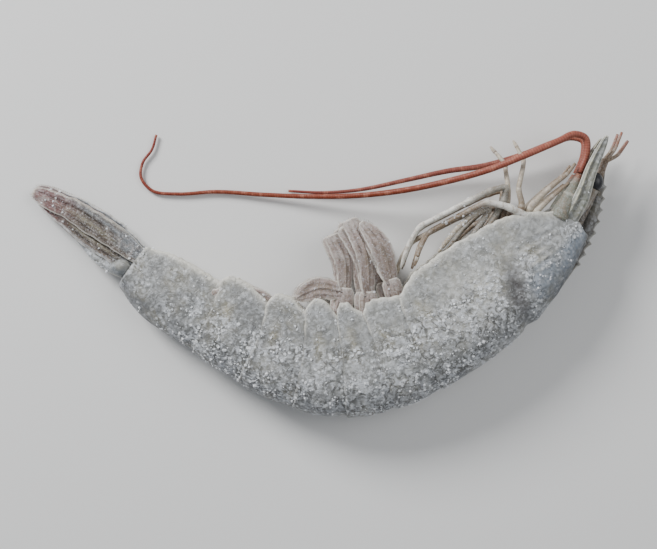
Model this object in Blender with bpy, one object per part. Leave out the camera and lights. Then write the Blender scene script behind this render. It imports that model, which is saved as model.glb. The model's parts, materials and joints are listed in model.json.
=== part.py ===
"""A raw whiteleg shrimp, head and shell on, lying on its right side.

+X runs along the shrimp towards its head, +Y towards its belly, +Z up. All named sizes are in
millimetres, and a mesh is scaled to metres when it is finished. The body is built round one curved
axis from the tail joint to the brow. A place on it is given as "along" (distance from the tail
joint), "back" (towards the dorsal ridge) and "side" (towards the left flank, which faces up).
"""

import math

import bmesh
import bpy
from mathutils import Vector

MM = 0.001

# The body axis, seen from above, from the tail joint to the brow.
AXIS_POINTS = (
    (-44.9, 1.8), (-38.6, -2.9), (-31.0, -7.6), (-20.0, -13.6), (-9.2, -18.6),
    (2.5, -20.6), (12.5, -18.9), (20.5, -14.9), (38.5, -2.5), (58.0, 12.0),
)
RING_JOINTS = (0.0, 23.5, 35.6, 46.8, 56.1, 64.5, 75.5)
BROW = 117.5

# Body profile: (distance along the axis, size).
BACK_HEIGHT = (
    (0, 5.0), (8, 7.4), (16.8, 8.3), (29.3, 9.3), (41.2, 10.6), (53.1, 12.1), (63.2, 12.4),
    (72.2, 12.5), (76.0, 12.5),
)
BELLY_DEPTH = (
    (0, 5.0), (8, 7.2), (16.8, 7.6), (29.3, 8.0), (41.2, 9.0), (53.1, 10.2), (63.2, 9.6),
    (72.2, 9.8), (76.0, 9.8),
)
HALF_WIDTH = ((0, 3.3), (8, 4.4), (16.8, 5.3), (29.3, 6.5), (41.2, 7.4), (53.1, 7.9), (72.2, 8.0))
AXIS_HEIGHT = (
    (0, 4.7), (16.8, 6.2), (29.3, 7.3), (41.2, 7.7), (53.1, 7.95), (63.2, 8.2), (72.2, 8.45),
    (95, 8.65), (117.5, 9.2),
)

# The carapace has its own profile. Its rear edge stands over the first ring of the abdomen.
CARAPACE_REAR = 71.6
CARAPACE_BACK = (
    (71.6, 13.1), (76, 13.15), (82, 13.3), (90, 13.0), (98, 11.9), (104, 10.4), (110, 8.0),
    (114, 6.0), (117.5, 4.0),
)
CARAPACE_BELLY = (
    (71.6, 10.3), (78, 11.4), (88, 11.5), (98, 10.7), (104, 9.6), (110, 7.3), (114, 5.2),
    (117.5, 3.6),
)
CARAPACE_WIDTH = (
    (71.6, 8.65), (76, 8.7), (82, 8.8), (92, 8.7), (100, 8.0), (106, 7.1), (112, 5.9),
    (117.5, 4.1),
)
CARAPACE_LEAN = 2.4
CARAPACE_LEAN_END = 86.0
CARAPACE_FLAP = 1.6
FLAP_REAR_SHARE = 0.17
FLAP_FRONT_SHARE = 0.25
CARAPACE_STEPS = 18
CARAPACE_ARCH_POINTS = 14
CERVICAL_GROOVE = 99.0
GROOVE_DEPTH = 0.8
GROOVE_WIDTH = 1.8
GROOVE_ON_FLANK = 0.4

# Side plates of the sixth (tail) ring, then of rings five to one: length below the belly, and
# how far each is swept towards the tail.
LOBE_LENGTHS = (0.6, 2.9, 3.6, 4.3, 4.0, 3.0)
PLATE_SWEEPS = (0.0, 2.6, 3.1, 2.8, 1.9, 1.2)
LOBE_RISE = 0.2
LOBE_RISE_POWER = 0.5
LOBE_FALL = 0.42
LOBE_FALL_POWER = 1.35
SWEEP_REACH = 12.0
SWEEP_POWER = 1.5
PLATE_THICKNESS = 1.1
PLATE_EDGE = 0.15
PLATE_LIP = 0.2
BELLY_RECESS = 1.2
BELLY_TAPER = 0.92
BELLY_KEEL = 0.5
REAR_STEP = 0.30
FRONT_TUCK = 0.40
RING_BULGE = 0.35
FLANK_SWELL = 0.7
RING_OVERLAP = 1.6
RING_FRONT_EXTRA = 0.5
RING_STEPS = 7
ARCH_POINTS = 12
FLANK_POINTS = 3

BACK_ROUNDNESS = 2.25
SIDE_TUCK = 0.14

# The toothed crest runs up the carapace and out over the eyes as the rostrum.
CREST_START = 104.0
CREST_END = 112.0
CREST_SPACING = 4.0
ROSTRUM_COURSE = ((60.1, 11.0), (62.1, 17.6), (63.8, 25.3))
ROSTRUM_DEPTH = ((0.0, 1.4), (0.2, 2.7), (0.44, 3.0), (0.75, 2.0), (1.0, 0.5))
ROSTRUM_THICKNESS = ((0.0, 1.4), (0.38, 2.0), (1.0, 0.6))
CREST_TEETH = 8
TOOTH_HEIGHT = 0.75
TOOTH_PROFILE = ((0.0, 0.0), (0.72, 1.0), (0.9, 0.3))
# Shares of the course between which its upper edge is toothed.
TEETH_FROM = 0.2
TEETH_TO = 0.86
CREST_SINK = 1.1

# Tail fan: from the tail joint to the tip. "Across" is towards the back.
FAN_ROOT = (-45.3, 3.0, 4.6)
FAN_TIP = (-68.9, 18.9, 1.5)
FAN_BLADES = {
    "outer": {
        "course": ((-0.12, -1.8), (0.35, -2.4), (0.7, -1.7), (1.0, -0.4)),
        "widths": ((0, 3.2), (0.15, 4.8), (0.45, 5.8), (0.85, 4.7), (1.0, 2.4)),
        "rise": 1.9,
    },
    "inner": {
        "course": ((-0.12, 0.9), (0.35, 0.9), (0.7, 0.5), (0.93, 0.4)),
        "widths": ((0, 3.0), (0.15, 4.2), (0.5, 4.8), (0.85, 3.4), (1.0, 1.2)),
        "rise": 0.9,
    },
}
TELSON = {
    "course": ((-0.10, 1.6), (0.2, 3.3), (0.5, 2.1), (0.82, 1.2)),
    "widths": ((0, 5.0), (0.25, 4.6), (0.55, 3.0), (0.85, 1.6), (1.0, 0.5)),
}
BLADE_THICKNESS = 1.3
BLADE_TILT = 0.25
FAR_BLADE_SHIFT = 0.7
TELSON_THICKNESS = 2.8
FAN_CLOSING = 0.6
KNUCKLE_OFFSET = (-2.2, -1.6, 1.7)
KNUCKLE_RADII = (2.2, 1.8, 1.4)
# Share of its thickness that a blade loses towards its tip.
TIP_THINNING = 0.6

SHELL_GREY = (0.33, 0.33, 0.30)
TAIL_TAN = (0.36, 0.27, 0.22)
EYE_BLACK = (0.03, 0.03, 0.05)
LEG_CREAM = (0.62, 0.56, 0.46)
SWIMMERET_PINK = (0.42, 0.30, 0.24)
ANTENNA_RED = (0.46, 0.11, 0.05)

# Walking legs of the upper flank, first to fifth: where each leaves the body, then its joints.
LEG_ROOTS = (107.0, 103.0, 99.0, 94.0, 88.0)
LEG_JOINTS = (
    ((46.0, 12.6, 13.8), (41.2, 15.0, 15.0), (36.2, 16.3, 14.8), (32.0, 14.2, 13.8),
     (23.3, 9.6, 12.0), (21.6, 6.6, 11.5), (20.0, 1.7, 11.0)),
    ((44.4, 15.6, 13.0), (43.4, 19.0, 13.4), (45.0, 25.7, 11.6), (42.8, 30.6, 8.6)),
    ((41.2, 16.8, 12.4), (41.2, 19.6, 12.6), (40.7, 25.2, 10.4), (37.6, 29.3, 7.8)),
    ((40.2, 16.8, 13.0), (40.8, 19.8, 13.8), (36.8, 18.7, 14.4), (32.2, 16.4, 14.4),
     (20.9, 10.6, 12.8), (18.7, 6.6, 11.8), (16.8, 1.2, 10.8)),
    ((37.3, 15.0, 12.4), (33.4, 13.6, 13.0), (29.6, 10.3, 12.6), (25.4, 4.9, 11.8)),
)
LEG_RADII = ((0, 1.2), (0.2, 0.86), (0.5, 0.7), (0.9, 0.58), (1.0, 0.3))
LEG_ROOT_DEPTH = 3.0
LEG_ROOT_SIDE = 2.4
# The far legs follow the course of a near leg, each shifted a little.
FAR_LEG_PATTERN = (0, 3, 4, 3, 4)
FAR_LEG_SHIFT = ((-0.4, -0.6), (0.4, -0.2), (2.6, 0.8), (-1.6, -3.4), (0.6, -2.2))

# Swimmerets of rings five to one: root, lean and length of the stem, then lean, length and
# outline of each blade. A lean is in degrees from the belly's direction towards the tail.
SWIMMERETS = (
    {"root": 30.0, "lean": 80, "stem": 3.5, "outer": (103, 7.5, "tapered"),
     "inner": (82, 7.1, "tapered")},
    {"root": 39.5, "lean": 66, "stem": 4.5, "outer": (95, 9.5, "tapered"),
     "inner": (74, 9.0, "tapered")},
    {"root": 54.0, "lean": -8, "stem": 10.5, "outer": (100, 11.4, "tapered"),
     "inner": (11, 12.4, "broad")},
    {"root": 62.5, "lean": -14, "stem": 9.0, "outer": (-3, 17.0, "broad"),
     "inner": (3, 15.8, "broad")},
    {"root": 72.0, "lean": -13, "stem": 8.5, "outer": (-4, 14.6, "tapered"),
     "inner": (0, 12.5, "tapered")},
)
SWIMMERET_DEPTH = 3.2
SWIMMERET_SPREAD = 3.0
SWIMMERET_SPLAY = 1.6
SWIMMERET_STEM_WIDTHS = ((0, 4.2), (0.7, 4.4), (1.0, 3.4))
SWIMMERET_STEM_THICKNESS = 2.6
SWIMMERET_WIDTHS = {
    "broad": ((0, 2.6), (0.3, 3.8), (0.7, 4.8), (0.92, 4.5), (1.0, 2.6)),
    "tapered": ((0, 2.8), (0.25, 4.6), (0.5, 5.2), (0.75, 4.4), (0.93, 2.8), (1.0, 1.2)),
}
SWIMMERET_BLADE_THICKNESS = 1.2
# How far the middle of a blade bows outward from its flank, and towards the head.
SWIMMERET_BOWS = {"outer": 0.6, "inner": 0.1}
SWIMMERET_CURL = 0.09
# Shares of the splay that the knee and the tips of the blades have, and the blades' twist.
KNEE_SPLAY = 0.5
TIP_SPLAY = 0.2
BLADE_TWIST = 0.3
BLADE_SINK = 1.2
FAR_SWIMMERET_SHIFT = -1.2
FAR_SWIMMERET_LEAN = 3

# Head, upper flank: snout, eye, antennal scale, short feelers and mouth limbs.
SNOUT_PLACE = (113.5, -1.6, 0.0)
SNOUT_RADII = (5.6, 5.2, 5.0)
EYE_STALK = ((55.8, 12.0, 11.0), (58.7, 15.8, 12.0), (60.5, 19.3, 12.2))
EYE_STALK_RADII = ((0, 1.3), (1.0, 1.5))
EYE_PLACE = (61.0, 20.9, 12.1)
EYE_RADII = (1.9, 2.2, 1.7)
SCALE_COURSE = ((55.0, 11.6, 12.8), (57.7, 17.4, 14.3), (59.9, 23.6, 14.1), (63.7, 31.3, 12.7))
SCALE_WIDTHS = ((0, 3.4), (0.25, 3.7), (0.45, 3.1), (0.7, 2.6), (0.9, 1.8), (1.0, 0.8))
SCALE_THICKNESS = 1.3
FEELER_BASE = ((56.6, 11.0, 10.6), (59.6, 16.6, 10.9), (61.9, 21.6, 11.0), (63.6, 26.0, 11.0))
FEELER_BASE_RADII = ((0, 1.7), (0.5, 1.4), (1.0, 0.9))
FEELER_WHIPS = (
    ((63.3, 25.4, 11.2), (65.6, 28.2, 11.6), (67.2, 32.2, 11.8)),
    ((63.3, 25.4, 10.7), (66.6, 27.0, 10.2), (69.0, 30.4, 9.8)),
)
FEELER_WHIP_RADII = ((0, 0.5), (1.0, 0.3))
MOUTH_LIMBS = (
    ((44.4, 11.0, 10.8), (46.2, 15.2, 12.6), (50.4, 19.3, 13.4), (54.6, 22.6, 13.2),
     (56.4, 25.0, 12.6)),
    ((45.4, 10.6, 10.8), (47.6, 14.2, 12.8), (51.2, 17.6, 13.2), (54.9, 20.6, 12.8)),
)
MOUTH_LIMB_RADII = ((0, 1.2), (0.4, 0.8), (1.0, 0.4))
ANTENNA_BASE_RADII = ((0, 2.4), (0.5, 1.9), (1.0, 1.0))

# Antennae: the outer end of each base, then the long whip's course.
ANTENNA_BASE = ((52.6, 12.6, 12.2), (55.4, 17.8, 12.4), (57.4, 22.6, 11.6))
ANTENNA_COURSE = (
    (57.6, 23.0, 11.5), (59.2, 27.0, 11.2), (59.0, 30.8, 11.6), (56.2, 31.7, 12.6),
    (52.6, 30.1, 13.6), (44.5, 26.6, 14.2), (36.5, 23.5, 12.8), (28.0, 21.2, 10.6),
    (17.9, 19.2, 8.0), (7.0, 18.1, 5.2), (-4.0, 18.0, 2.8), (-15.0, 18.5, 1.4),
    (-26.0, 19.2, 0.9), (-35.0, 18.7, 0.8), (-41.0, 19.5, 0.8), (-43.6, 22.6, 0.8),
    (-43.2, 26.0, 0.8), (-41.0, 29.2, 0.8), (-40.0, 32.6, 0.8),
)
FAR_ANTENNA_COURSE = (
    (57.6, 23.0, 6.9), (59.2, 27.2, 6.9), (59.2, 30.6, 6.7), (56.4, 31.5, 6.3),
    (52.8, 30.4, 5.8), (45.0, 27.4, 5.0), (36.8, 25.1, 4.3), (28.2, 23.9, 3.7),
    (18.4, 21.8, 3.0), (7.5, 19.6, 2.0), (-1.0, 19.0, 1.3), (-9.0, 19.4, 0.8),
)
ANTENNA_RADII = ((0, 0.8), (0.3, 0.74), (0.6, 0.58), (1.0, 0.3))
ANTENNA_POINTS = 44
FAR_ANTENNA_POINTS = 32

# The block that is cut away below the table's top.
FLOOR_BLOCK = (200.0, 120.0, 10.0)

SHARP_ANGLE = math.radians(50)


# ---------------------------------------------------------------- curves

def slopes(knots, monotone):
    """Slope at each knot: limited so that the curve never overshoots, or plain averaged."""
    steps = [
        (after[1] - before[1]) / (after[0] - before[0])
        for before, after in zip(knots, knots[1:])
    ]
    result = [steps[0]]
    for left, right in zip(steps, steps[1:]):
        if not monotone:
            result.append((left + right) / 2)
        elif left * right <= 0:
            result.append(0.0)
        else:
            result.append(2 * left * right / (left + right))
    result.append(steps[-1])
    return result


def curve_value(knots, place, monotone=True):
    """Value at a place on the smooth curve through (place, value) knots."""
    tangents = slopes(knots, monotone)
    if place <= knots[0][0]:
        return knots[0][1] + (0.0 if monotone else tangents[0] * (place - knots[0][0]))
    if place >= knots[-1][0]:
        return knots[-1][1] + (0.0 if monotone else tangents[-1] * (place - knots[-1][0]))
    index = max(i for i, knot in enumerate(knots[:-1]) if knot[0] <= place)
    start, end = knots[index], knots[index + 1]
    span = end[0] - start[0]
    t = (place - start[0]) / span
    return (
        (2 * t ** 3 - 3 * t ** 2 + 1) * start[1]
        + (t ** 3 - 2 * t ** 2 + t) * span * tangents[index]
        + (3 * t ** 2 - 2 * t ** 3) * end[1]
        + (t ** 3 - t ** 2) * span * tangents[index + 1]
    )


def path_knots(points):
    """One list of (distance, coordinate) knots for each coordinate of a path."""
    distances = [0.0]
    for start, end in zip(points, points[1:]):
        distances.append(distances[-1] + (Vector(end) - Vector(start)).length)
    return [
        [(distance, point[axis]) for distance, point in zip(distances, points)]
        for axis in range(len(points[0]))
    ]


def smooth_path(points, count):
    """Evenly spaced points on the smooth curve through a path's points."""
    knots = path_knots(points)
    length = knots[0][-1][0]
    return [
        Vector([curve_value(axis, length * i / (count - 1), monotone=False) for axis in knots])
        for i in range(count)
    ]


AXIS_KNOTS = path_knots(AXIS_POINTS)


def axis_point(along):
    return Vector((
        curve_value(AXIS_KNOTS[0], along, monotone=False),
        curve_value(AXIS_KNOTS[1], along, monotone=False),
        curve_value(AXIS_HEIGHT, along),
    ))


def body_frame(along):
    """Point on the axis with the directions ahead, to the back and to the left flank."""
    ahead = (axis_point(along + 0.3) - axis_point(along - 0.3)).normalized()
    back = ahead.cross(Vector((0, 0, 1))).normalized()
    return axis_point(along), ahead, back, back.cross(ahead)


def body_point(along, back, side):
    origin, _, back_direction, side_direction = body_frame(along)
    return origin + back_direction * back + side_direction * side


# ---------------------------------------------------------------- mesh makers

def make_material(name, colour, roughness=0.5):
    material = bpy.data.materials.new(name)
    material.use_nodes = True
    shader = material.node_tree.nodes["Principled BSDF"]
    shader.inputs["Base Color"].default_value = (*colour, 1.0)
    shader.inputs["Roughness"].default_value = roughness
    shader.inputs["Metallic"].default_value = 0.0
    return material


def finish_mesh(name, bm, material, collection):
    """Turn a bmesh in millimetres into a smooth-shaded object in metres, faces outward."""
    bmesh.ops.recalc_face_normals(bm, faces=bm.faces)
    if bm.calc_volume(signed=True) < 0:
        bmesh.ops.reverse_faces(bm, faces=bm.faces)
    bmesh.ops.scale(bm, vec=(MM, MM, MM), verts=bm.verts)
    mesh = bpy.data.meshes.new(name)
    bm.to_mesh(mesh)
    bm.free()
    mesh.shade_smooth()
    mesh.set_sharp_from_angle(angle=SHARP_ANGLE)
    mesh.materials.append(material)
    piece = bpy.data.objects.new(name, mesh)
    collection.objects.link(piece)
    return piece


def loft(name, rings, material, collection):
    """Closed solid through rings that all have the same number of points."""
    bm = bmesh.new()
    rows = [[bm.verts.new(point) for point in ring] for ring in rings]
    count = len(rows[0])
    for row, following in zip(rows, rows[1:]):
        for i in range(count):
            j = (i + 1) % count
            bm.faces.new((row[i], row[j], following[j], following[i]))
    for row in (rows[0], rows[-1]):
        centre = bm.verts.new(sum((vert.co for vert in row), Vector()) / count)
        for i in range(count):
            bm.faces.new((row[i], row[(i + 1) % count], centre))
    return finish_mesh(name, bm, material, collection)


def oval_rings(path, width_at, depth_at, normal, points):
    """Oval rings across a path. Their depth is measured along the normal."""
    rings = []
    for i, point in enumerate(path):
        ahead = (path[min(i + 1, len(path) - 1)] - path[max(i - 1, 0)]).normalized()
        across = ahead.cross(normal).normalized()
        over = across.cross(ahead)
        share = i / (len(path) - 1)
        rings.append([
            point
            + across * width_at(share) / 2 * math.cos(math.tau * k / points)
            + over * depth_at(share) / 2 * math.sin(math.tau * k / points)
            for k in range(points)
        ])
    return rings


def tube(name, path, radii, material, collection, sides=6):
    def diameter(share):
        return 2 * curve_value(radii, share)

    rings = oval_rings(path, diameter, diameter, Vector((0, 0, 1)), sides)
    return loft(name, rings, material, collection)


def leaf(name, path, widths, thickness, material, collection, normal=(0, 0, 1), points=6):
    """Thin blade along a path, thinner towards its tip."""
    rings = oval_rings(
        path,
        lambda share: curve_value(widths, share),
        lambda share: thickness * (1 - TIP_THINNING * share),
        Vector(normal),
        points,
    )
    return loft(name, rings, material, collection)


def ball(name, centre, radii, material, collection):
    bm = bmesh.new()
    bmesh.ops.create_icosphere(bm, subdivisions=2, radius=1.0)
    bmesh.ops.scale(bm, vec=radii, verts=bm.verts)
    bmesh.ops.translate(bm, vec=centre, verts=bm.verts)
    return finish_mesh(name, bm, material, collection)


# ---------------------------------------------------------------- shell

def shell_section(half_width, back, belly, lobe, over=ARCH_POINTS):
    """Outline (side, back) of a cross-section: the arched back, two side plates, the belly."""
    reach = belly + lobe + PLATE_EDGE
    flank = []
    for step in range(1, FLANK_POINTS + 1):
        share = step / FLANK_POINTS
        flank.append((half_width * (1 - SIDE_TUCK * share ** 2), -reach * share))
    arch = []
    for step in range(over + 1):
        angle = math.pi * (step / over - 0.5)
        side = math.copysign(abs(math.sin(angle)) ** (2 / BACK_ROUNDNESS), angle)
        rise = abs(math.cos(angle)) ** (2 / BACK_ROUNDNESS)
        arch.append((half_width * side, back * rise))
    edge = half_width * (1 - SIDE_TUCK) - PLATE_THICKNESS
    floor = belly - BELLY_RECESS
    inside = [(edge, -reach + PLATE_LIP), (edge * BELLY_TAPER, -floor), (0.0, -floor - BELLY_KEEL)]
    inside += [(-edge * BELLY_TAPER, -floor), (-edge, -reach + PLATE_LIP)]
    return [(-side, back_place) for side, back_place in flank[::-1]] + arch + flank + inside


def body_ring(along, outline, sweep=0.0):
    """Ring round the axis. Its side plates are swept towards the tail."""
    ring = []
    for side, back in outline:
        lag = sweep * min(1.0, max(0.0, -back / SWEEP_REACH)) ** SWEEP_POWER
        ring.append(body_point(along - lag, back, side))
    return ring


def lobe_share(share):
    """Outline of a side plate: a steep rear corner, then a long fall towards the head."""
    rise = min(1.0, share / LOBE_RISE) ** LOBE_RISE_POWER
    fall = 1 - max(0.0, (share - LOBE_FALL) / (1 - LOBE_FALL)) ** LOBE_FALL_POWER
    return rise * fall


def abdomen_ring(index, material, collection):
    """One ring of abdomen shell. Its rear edge stands over the front of the next ring."""
    rear, front = RING_JOINTS[index], RING_JOINTS[index + 1]
    start = rear - (RING_OVERLAP if index else 0.0)
    end = front + RING_FRONT_EXTRA
    rings = []
    for step in range(RING_STEPS + 1):
        share = step / RING_STEPS
        along = start + (end - start) * share
        swell = REAR_STEP * (1 - share) - FRONT_TUCK * share
        swell += RING_BULGE * math.sin(math.pi * share)
        outline = shell_section(
            curve_value(HALF_WIDTH, along) + swell * FLANK_SWELL,
            curve_value(BACK_HEIGHT, along) + swell,
            curve_value(BELLY_DEPTH, along),
            LOBE_LENGTHS[index] * lobe_share(share),
        )
        rings.append(body_ring(along, outline, PLATE_SWEEPS[index]))
    return loft(f"ring_{6 - index}", rings, material, collection)


def carapace(material, collection):
    """The head's shell, one piece from the abdomen to the brow, with the cervical groove."""
    rings = []
    for step in range(CARAPACE_STEPS + 1):
        share = step / CARAPACE_STEPS
        along = CARAPACE_REAR + (BROW - CARAPACE_REAR) * share
        groove = GROOVE_DEPTH * math.exp(-((along - CERVICAL_GROOVE) / GROOVE_WIDTH) ** 2)
        flap = CARAPACE_FLAP * min(1.0, share / FLAP_REAR_SHARE, (1 - share) / FLAP_FRONT_SHARE)
        outline = shell_section(
            curve_value(CARAPACE_WIDTH, along) - groove * GROOVE_ON_FLANK,
            curve_value(CARAPACE_BACK, along) - groove,
            curve_value(CARAPACE_BELLY, along),
            flap,
            over=CARAPACE_ARCH_POINTS,
        )
        lean = (CARAPACE_LEAN_END - along) / (CARAPACE_LEAN_END - CARAPACE_REAR)
        rings.append(body_ring(along, outline, -CARAPACE_LEAN * max(0.0, lean)))
    return loft("carapace", rings, material, collection)


def crest_course():
    """Middle line of the toothed crest, from the carapace out to the tip of the rostrum."""
    points = []
    along = CREST_START
    while along <= CREST_END:
        points.append(tuple(body_point(along, curve_value(CARAPACE_BACK, along) - CREST_SINK, 0.0)))
        along += CREST_SPACING
    height = axis_point(BROW).z
    points += [(x, y, height) for x, y in ROSTRUM_COURSE]
    return points


def rostrum(material, collection):
    """Crest and rostrum: a thin blade with forward-leaning teeth along its upper edge."""
    course = path_knots(crest_course())
    length = course[0][-1][0]
    rings = [(0.0, 0.0)]
    for tooth in range(CREST_TEETH):
        for place, height in TOOTH_PROFILE:
            share = TEETH_FROM + (TEETH_TO - TEETH_FROM) * (tooth + place) / CREST_TEETH
            rings.append((share, TOOTH_HEIGHT * height))
    rings += [((1 + TEETH_TO) / 2, 0.0), (1.0, 0.0)]
    rows = []
    for share, height in rings:
        here = Vector([curve_value(axis, length * share, monotone=False) for axis in course])
        there = Vector([curve_value(axis, length * share + 0.5, monotone=False) for axis in course])
        ahead = (there - here).normalized()
        back = ahead.cross(Vector((0, 0, 1))).normalized()
        half_depth = curve_value(ROSTRUM_DEPTH, share) / 2
        half_width = curve_value(ROSTRUM_THICKNESS, share) / 2
        side = Vector((0, 0, half_width))
        rows.append([
            here + back * (half_depth + height),
            here + back * half_depth * 0.5 + side,
            here - back * half_depth * 0.6 + side,
            here - back * half_depth,
            here - back * half_depth * 0.6 - side,
            here + back * half_depth * 0.5 - side,
        ])
    return loft("rostrum", rows, material, collection)


# ---------------------------------------------------------------- tail fan

def fan_path(course, lift, count=9):
    """Course of a blade: shares of the fan's length with offsets towards the back."""
    root, tip = Vector(FAN_ROOT), Vector(FAN_TIP)
    flat = Vector((tip.x - root.x, tip.y - root.y, 0)).normalized()
    across = Vector((-flat.y, flat.x, 0))
    points = []
    for share, offset in course:
        height = lift * (1 - FAN_CLOSING * share)
        points.append(tuple(root.lerp(tip, share) + across * offset + Vector((0, 0, height))))
    return smooth_path(points, count)


def tail_fan(material, collection):
    """Folded fan: the pointed telson between two pairs of long side blades."""
    for flank, sign in (("left", 1), ("right", -1)):
        shift = FAR_BLADE_SHIFT if flank == "right" else 0.0
        for kind, blade in FAN_BLADES.items():
            course = [(share, offset - shift) for share, offset in blade["course"]]
            leaf(f"{kind}_blade_{flank}", fan_path(course, blade["rise"] * sign), blade["widths"],
                 BLADE_THICKNESS, material, collection, normal=(0.0, BLADE_TILT * sign, 1.0))
        x, y, z = KNUCKLE_OFFSET
        ball(f"fan_knuckle_{flank}", Vector(FAN_ROOT) + Vector((x, y, z * sign)), KNUCKLE_RADII,
             material, collection)
    leaf("telson", fan_path(TELSON["course"], 0.0), TELSON["widths"], TELSON_THICKNESS, material,
         collection)


# ---------------------------------------------------------------- head

def mirrored(points, shift=(0.0, 0.0)):
    """The same course on the far flank, mirrored in the shrimp's middle plane."""
    middle = axis_point(BROW).z
    return [(x + shift[0], y + shift[1], 2 * middle - z) for x, y, z in points]


def head(shell, limb, eye, collection):
    """Everything in front of the brow, once for each flank."""
    ball("snout", body_point(*SNOUT_PLACE), SNOUT_RADII, shell, collection)
    for flank, place in (("left", list), ("right", mirrored)):
        tube(f"eye_stalk_{flank}", smooth_path(place(EYE_STALK), 4), EYE_STALK_RADII, limb,
             collection, sides=8)
        ball(f"eye_{flank}", place([EYE_PLACE])[0], EYE_RADII, eye, collection)
        leaf(f"antennal_scale_{flank}", smooth_path(place(SCALE_COURSE), 9), SCALE_WIDTHS,
             SCALE_THICKNESS, shell, collection)
        tube(f"feeler_base_{flank}", smooth_path(place(FEELER_BASE), 6), FEELER_BASE_RADII, limb,
             collection, sides=8)
        for number, whip in enumerate(FEELER_WHIPS):
            tube(f"feeler_{flank}_{number}", smooth_path(place(whip), 5), FEELER_WHIP_RADII, limb,
                 collection, sides=5)
        tube(f"antenna_base_{flank}", smooth_path(place(ANTENNA_BASE), 6), ANTENNA_BASE_RADII,
             limb, collection, sides=8)
        for number, course in enumerate(MOUTH_LIMBS):
            tube(f"mouth_limb_{flank}_{number}", smooth_path(place(course), 7), MOUTH_LIMB_RADII,
                 limb, collection, sides=5)


# ---------------------------------------------------------------- limbs

def walking_legs(material, collection):
    """Five pairs of legs, each a bent tapering tube."""
    for number, (root, joints) in enumerate(zip(LEG_ROOTS, LEG_JOINTS), start=1):
        depth = curve_value(CARAPACE_BELLY, root) - LEG_ROOT_DEPTH
        near = [tuple(body_point(root, -depth, LEG_ROOT_SIDE)), *joints]
        pattern = LEG_JOINTS[FAR_LEG_PATTERN[number - 1]]
        far = [
            tuple(body_point(root, -depth, -LEG_ROOT_SIDE)),
            *mirrored(pattern, FAR_LEG_SHIFT[number - 1]),
        ]
        for flank, course in (("left", near), ("right", far)):
            tube(f"leg_{number}_{flank}", smooth_path(course, 2 * len(course) + 2), LEG_RADII,
                 material, collection)


def swimmeret(name, item, side, material, collection):
    """A stout stem from the belly with two leaf blades."""
    far = side < 0
    root = item["root"] + (FAR_SWIMMERET_SHIFT if far else 0.0)
    turn = FAR_SWIMMERET_LEAN if far else 0
    tilt = math.radians(item["lean"] + turn)
    depth = curve_value(BELLY_DEPTH, root) - SWIMMERET_DEPTH
    ahead, back, flank = body_frame(root)[1:]
    splay = flank * side * SWIMMERET_SPLAY
    down = -back * math.cos(tilt) - ahead * math.sin(tilt)
    hip = body_point(root, -depth, side * SWIMMERET_SPREAD)
    knee = hip + down * item["stem"] + splay * KNEE_SPLAY
    leaf(f"{name}_stem", smooth_path([tuple(hip), tuple(knee)], 4), SWIMMERET_STEM_WIDTHS,
         SWIMMERET_STEM_THICKNESS, material, collection)
    for kind, bow in SWIMMERET_BOWS.items():
        lean, length, outline = item[kind]
        angle = math.radians(lean + turn)
        course = (-back * math.cos(angle) - ahead * math.sin(angle)) * length
        curl = (ahead * math.cos(angle) - back * math.sin(angle)) * length * SWIMMERET_CURL
        start = knee - down * BLADE_SINK
        middle = knee + course * 0.5 + curl + splay * bow
        end = knee + course + splay * TIP_SPLAY
        path = smooth_path([tuple(start), tuple(middle), tuple(end)], 6)
        leaf(f"{name}_{kind}", path, SWIMMERET_WIDTHS[outline], SWIMMERET_BLADE_THICKNESS,
             material, collection, normal=tuple(flank + ahead * BLADE_TWIST * side))


def swimmerets(material, collection):
    for number, item in enumerate(SWIMMERETS):
        for flank, side in (("left", 1), ("right", -1)):
            swimmeret(f"swimmeret_{5 - number}_{flank}", item, side, material, collection)


# ---------------------------------------------------------------- build

def clear_scene():
    for item in list(bpy.data.objects):
        bpy.data.objects.remove(item, do_unlink=True)


def new_collection(name):
    collection = bpy.data.collections.new(name)
    bpy.context.scene.collection.children.link(collection)
    return collection


def apply_modifiers(piece):
    """Replace a piece's mesh by its evaluated one and drop its modifiers."""
    evaluated = piece.evaluated_get(bpy.context.evaluated_depsgraph_get())
    mesh = bpy.data.meshes.new_from_object(evaluated)
    piece.modifiers.clear()
    piece.data = mesh


def keep_largest_shell(piece):
    """Drop what is not part of the outer skin: walls of sealed hollows and loose scraps."""
    bm = bmesh.new()
    bm.from_mesh(piece.data)
    bmesh.ops.triangulate(bm, faces=bm.faces)
    waiting = set(bm.verts)
    shells = []
    while waiting:
        shell = set()
        front = [waiting.pop()]
        while front:
            vert = front.pop()
            shell.add(vert)
            for edge in vert.link_edges:
                other = edge.other_vert(vert)
                if other in waiting:
                    waiting.remove(other)
                    front.append(other)
        shells.append(shell)
    shells.sort(key=len)
    for shell in shells[:-1]:
        bmesh.ops.delete(bm, geom=list(shell), context="VERTS")
    bm.to_mesh(piece.data)
    bm.free()


def fuse(base, others):
    """Join every piece of a collection onto the base, then remove the pieces.

    The manifold solver is used because the exact one leaves edges shared by more than two faces
    where many thin blades and legs cross.
    """
    join = base.modifiers.new("join", "BOOLEAN")
    join.operation = "UNION"
    join.operand_type = "COLLECTION"
    join.collection = others
    join.solver = "MANIFOLD"
    join.material_mode = "TRANSFER"
    apply_modifiers(base)
    for piece in list(others.objects):
        bpy.data.objects.remove(piece, do_unlink=True)
    bpy.data.collections.remove(others)


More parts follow.
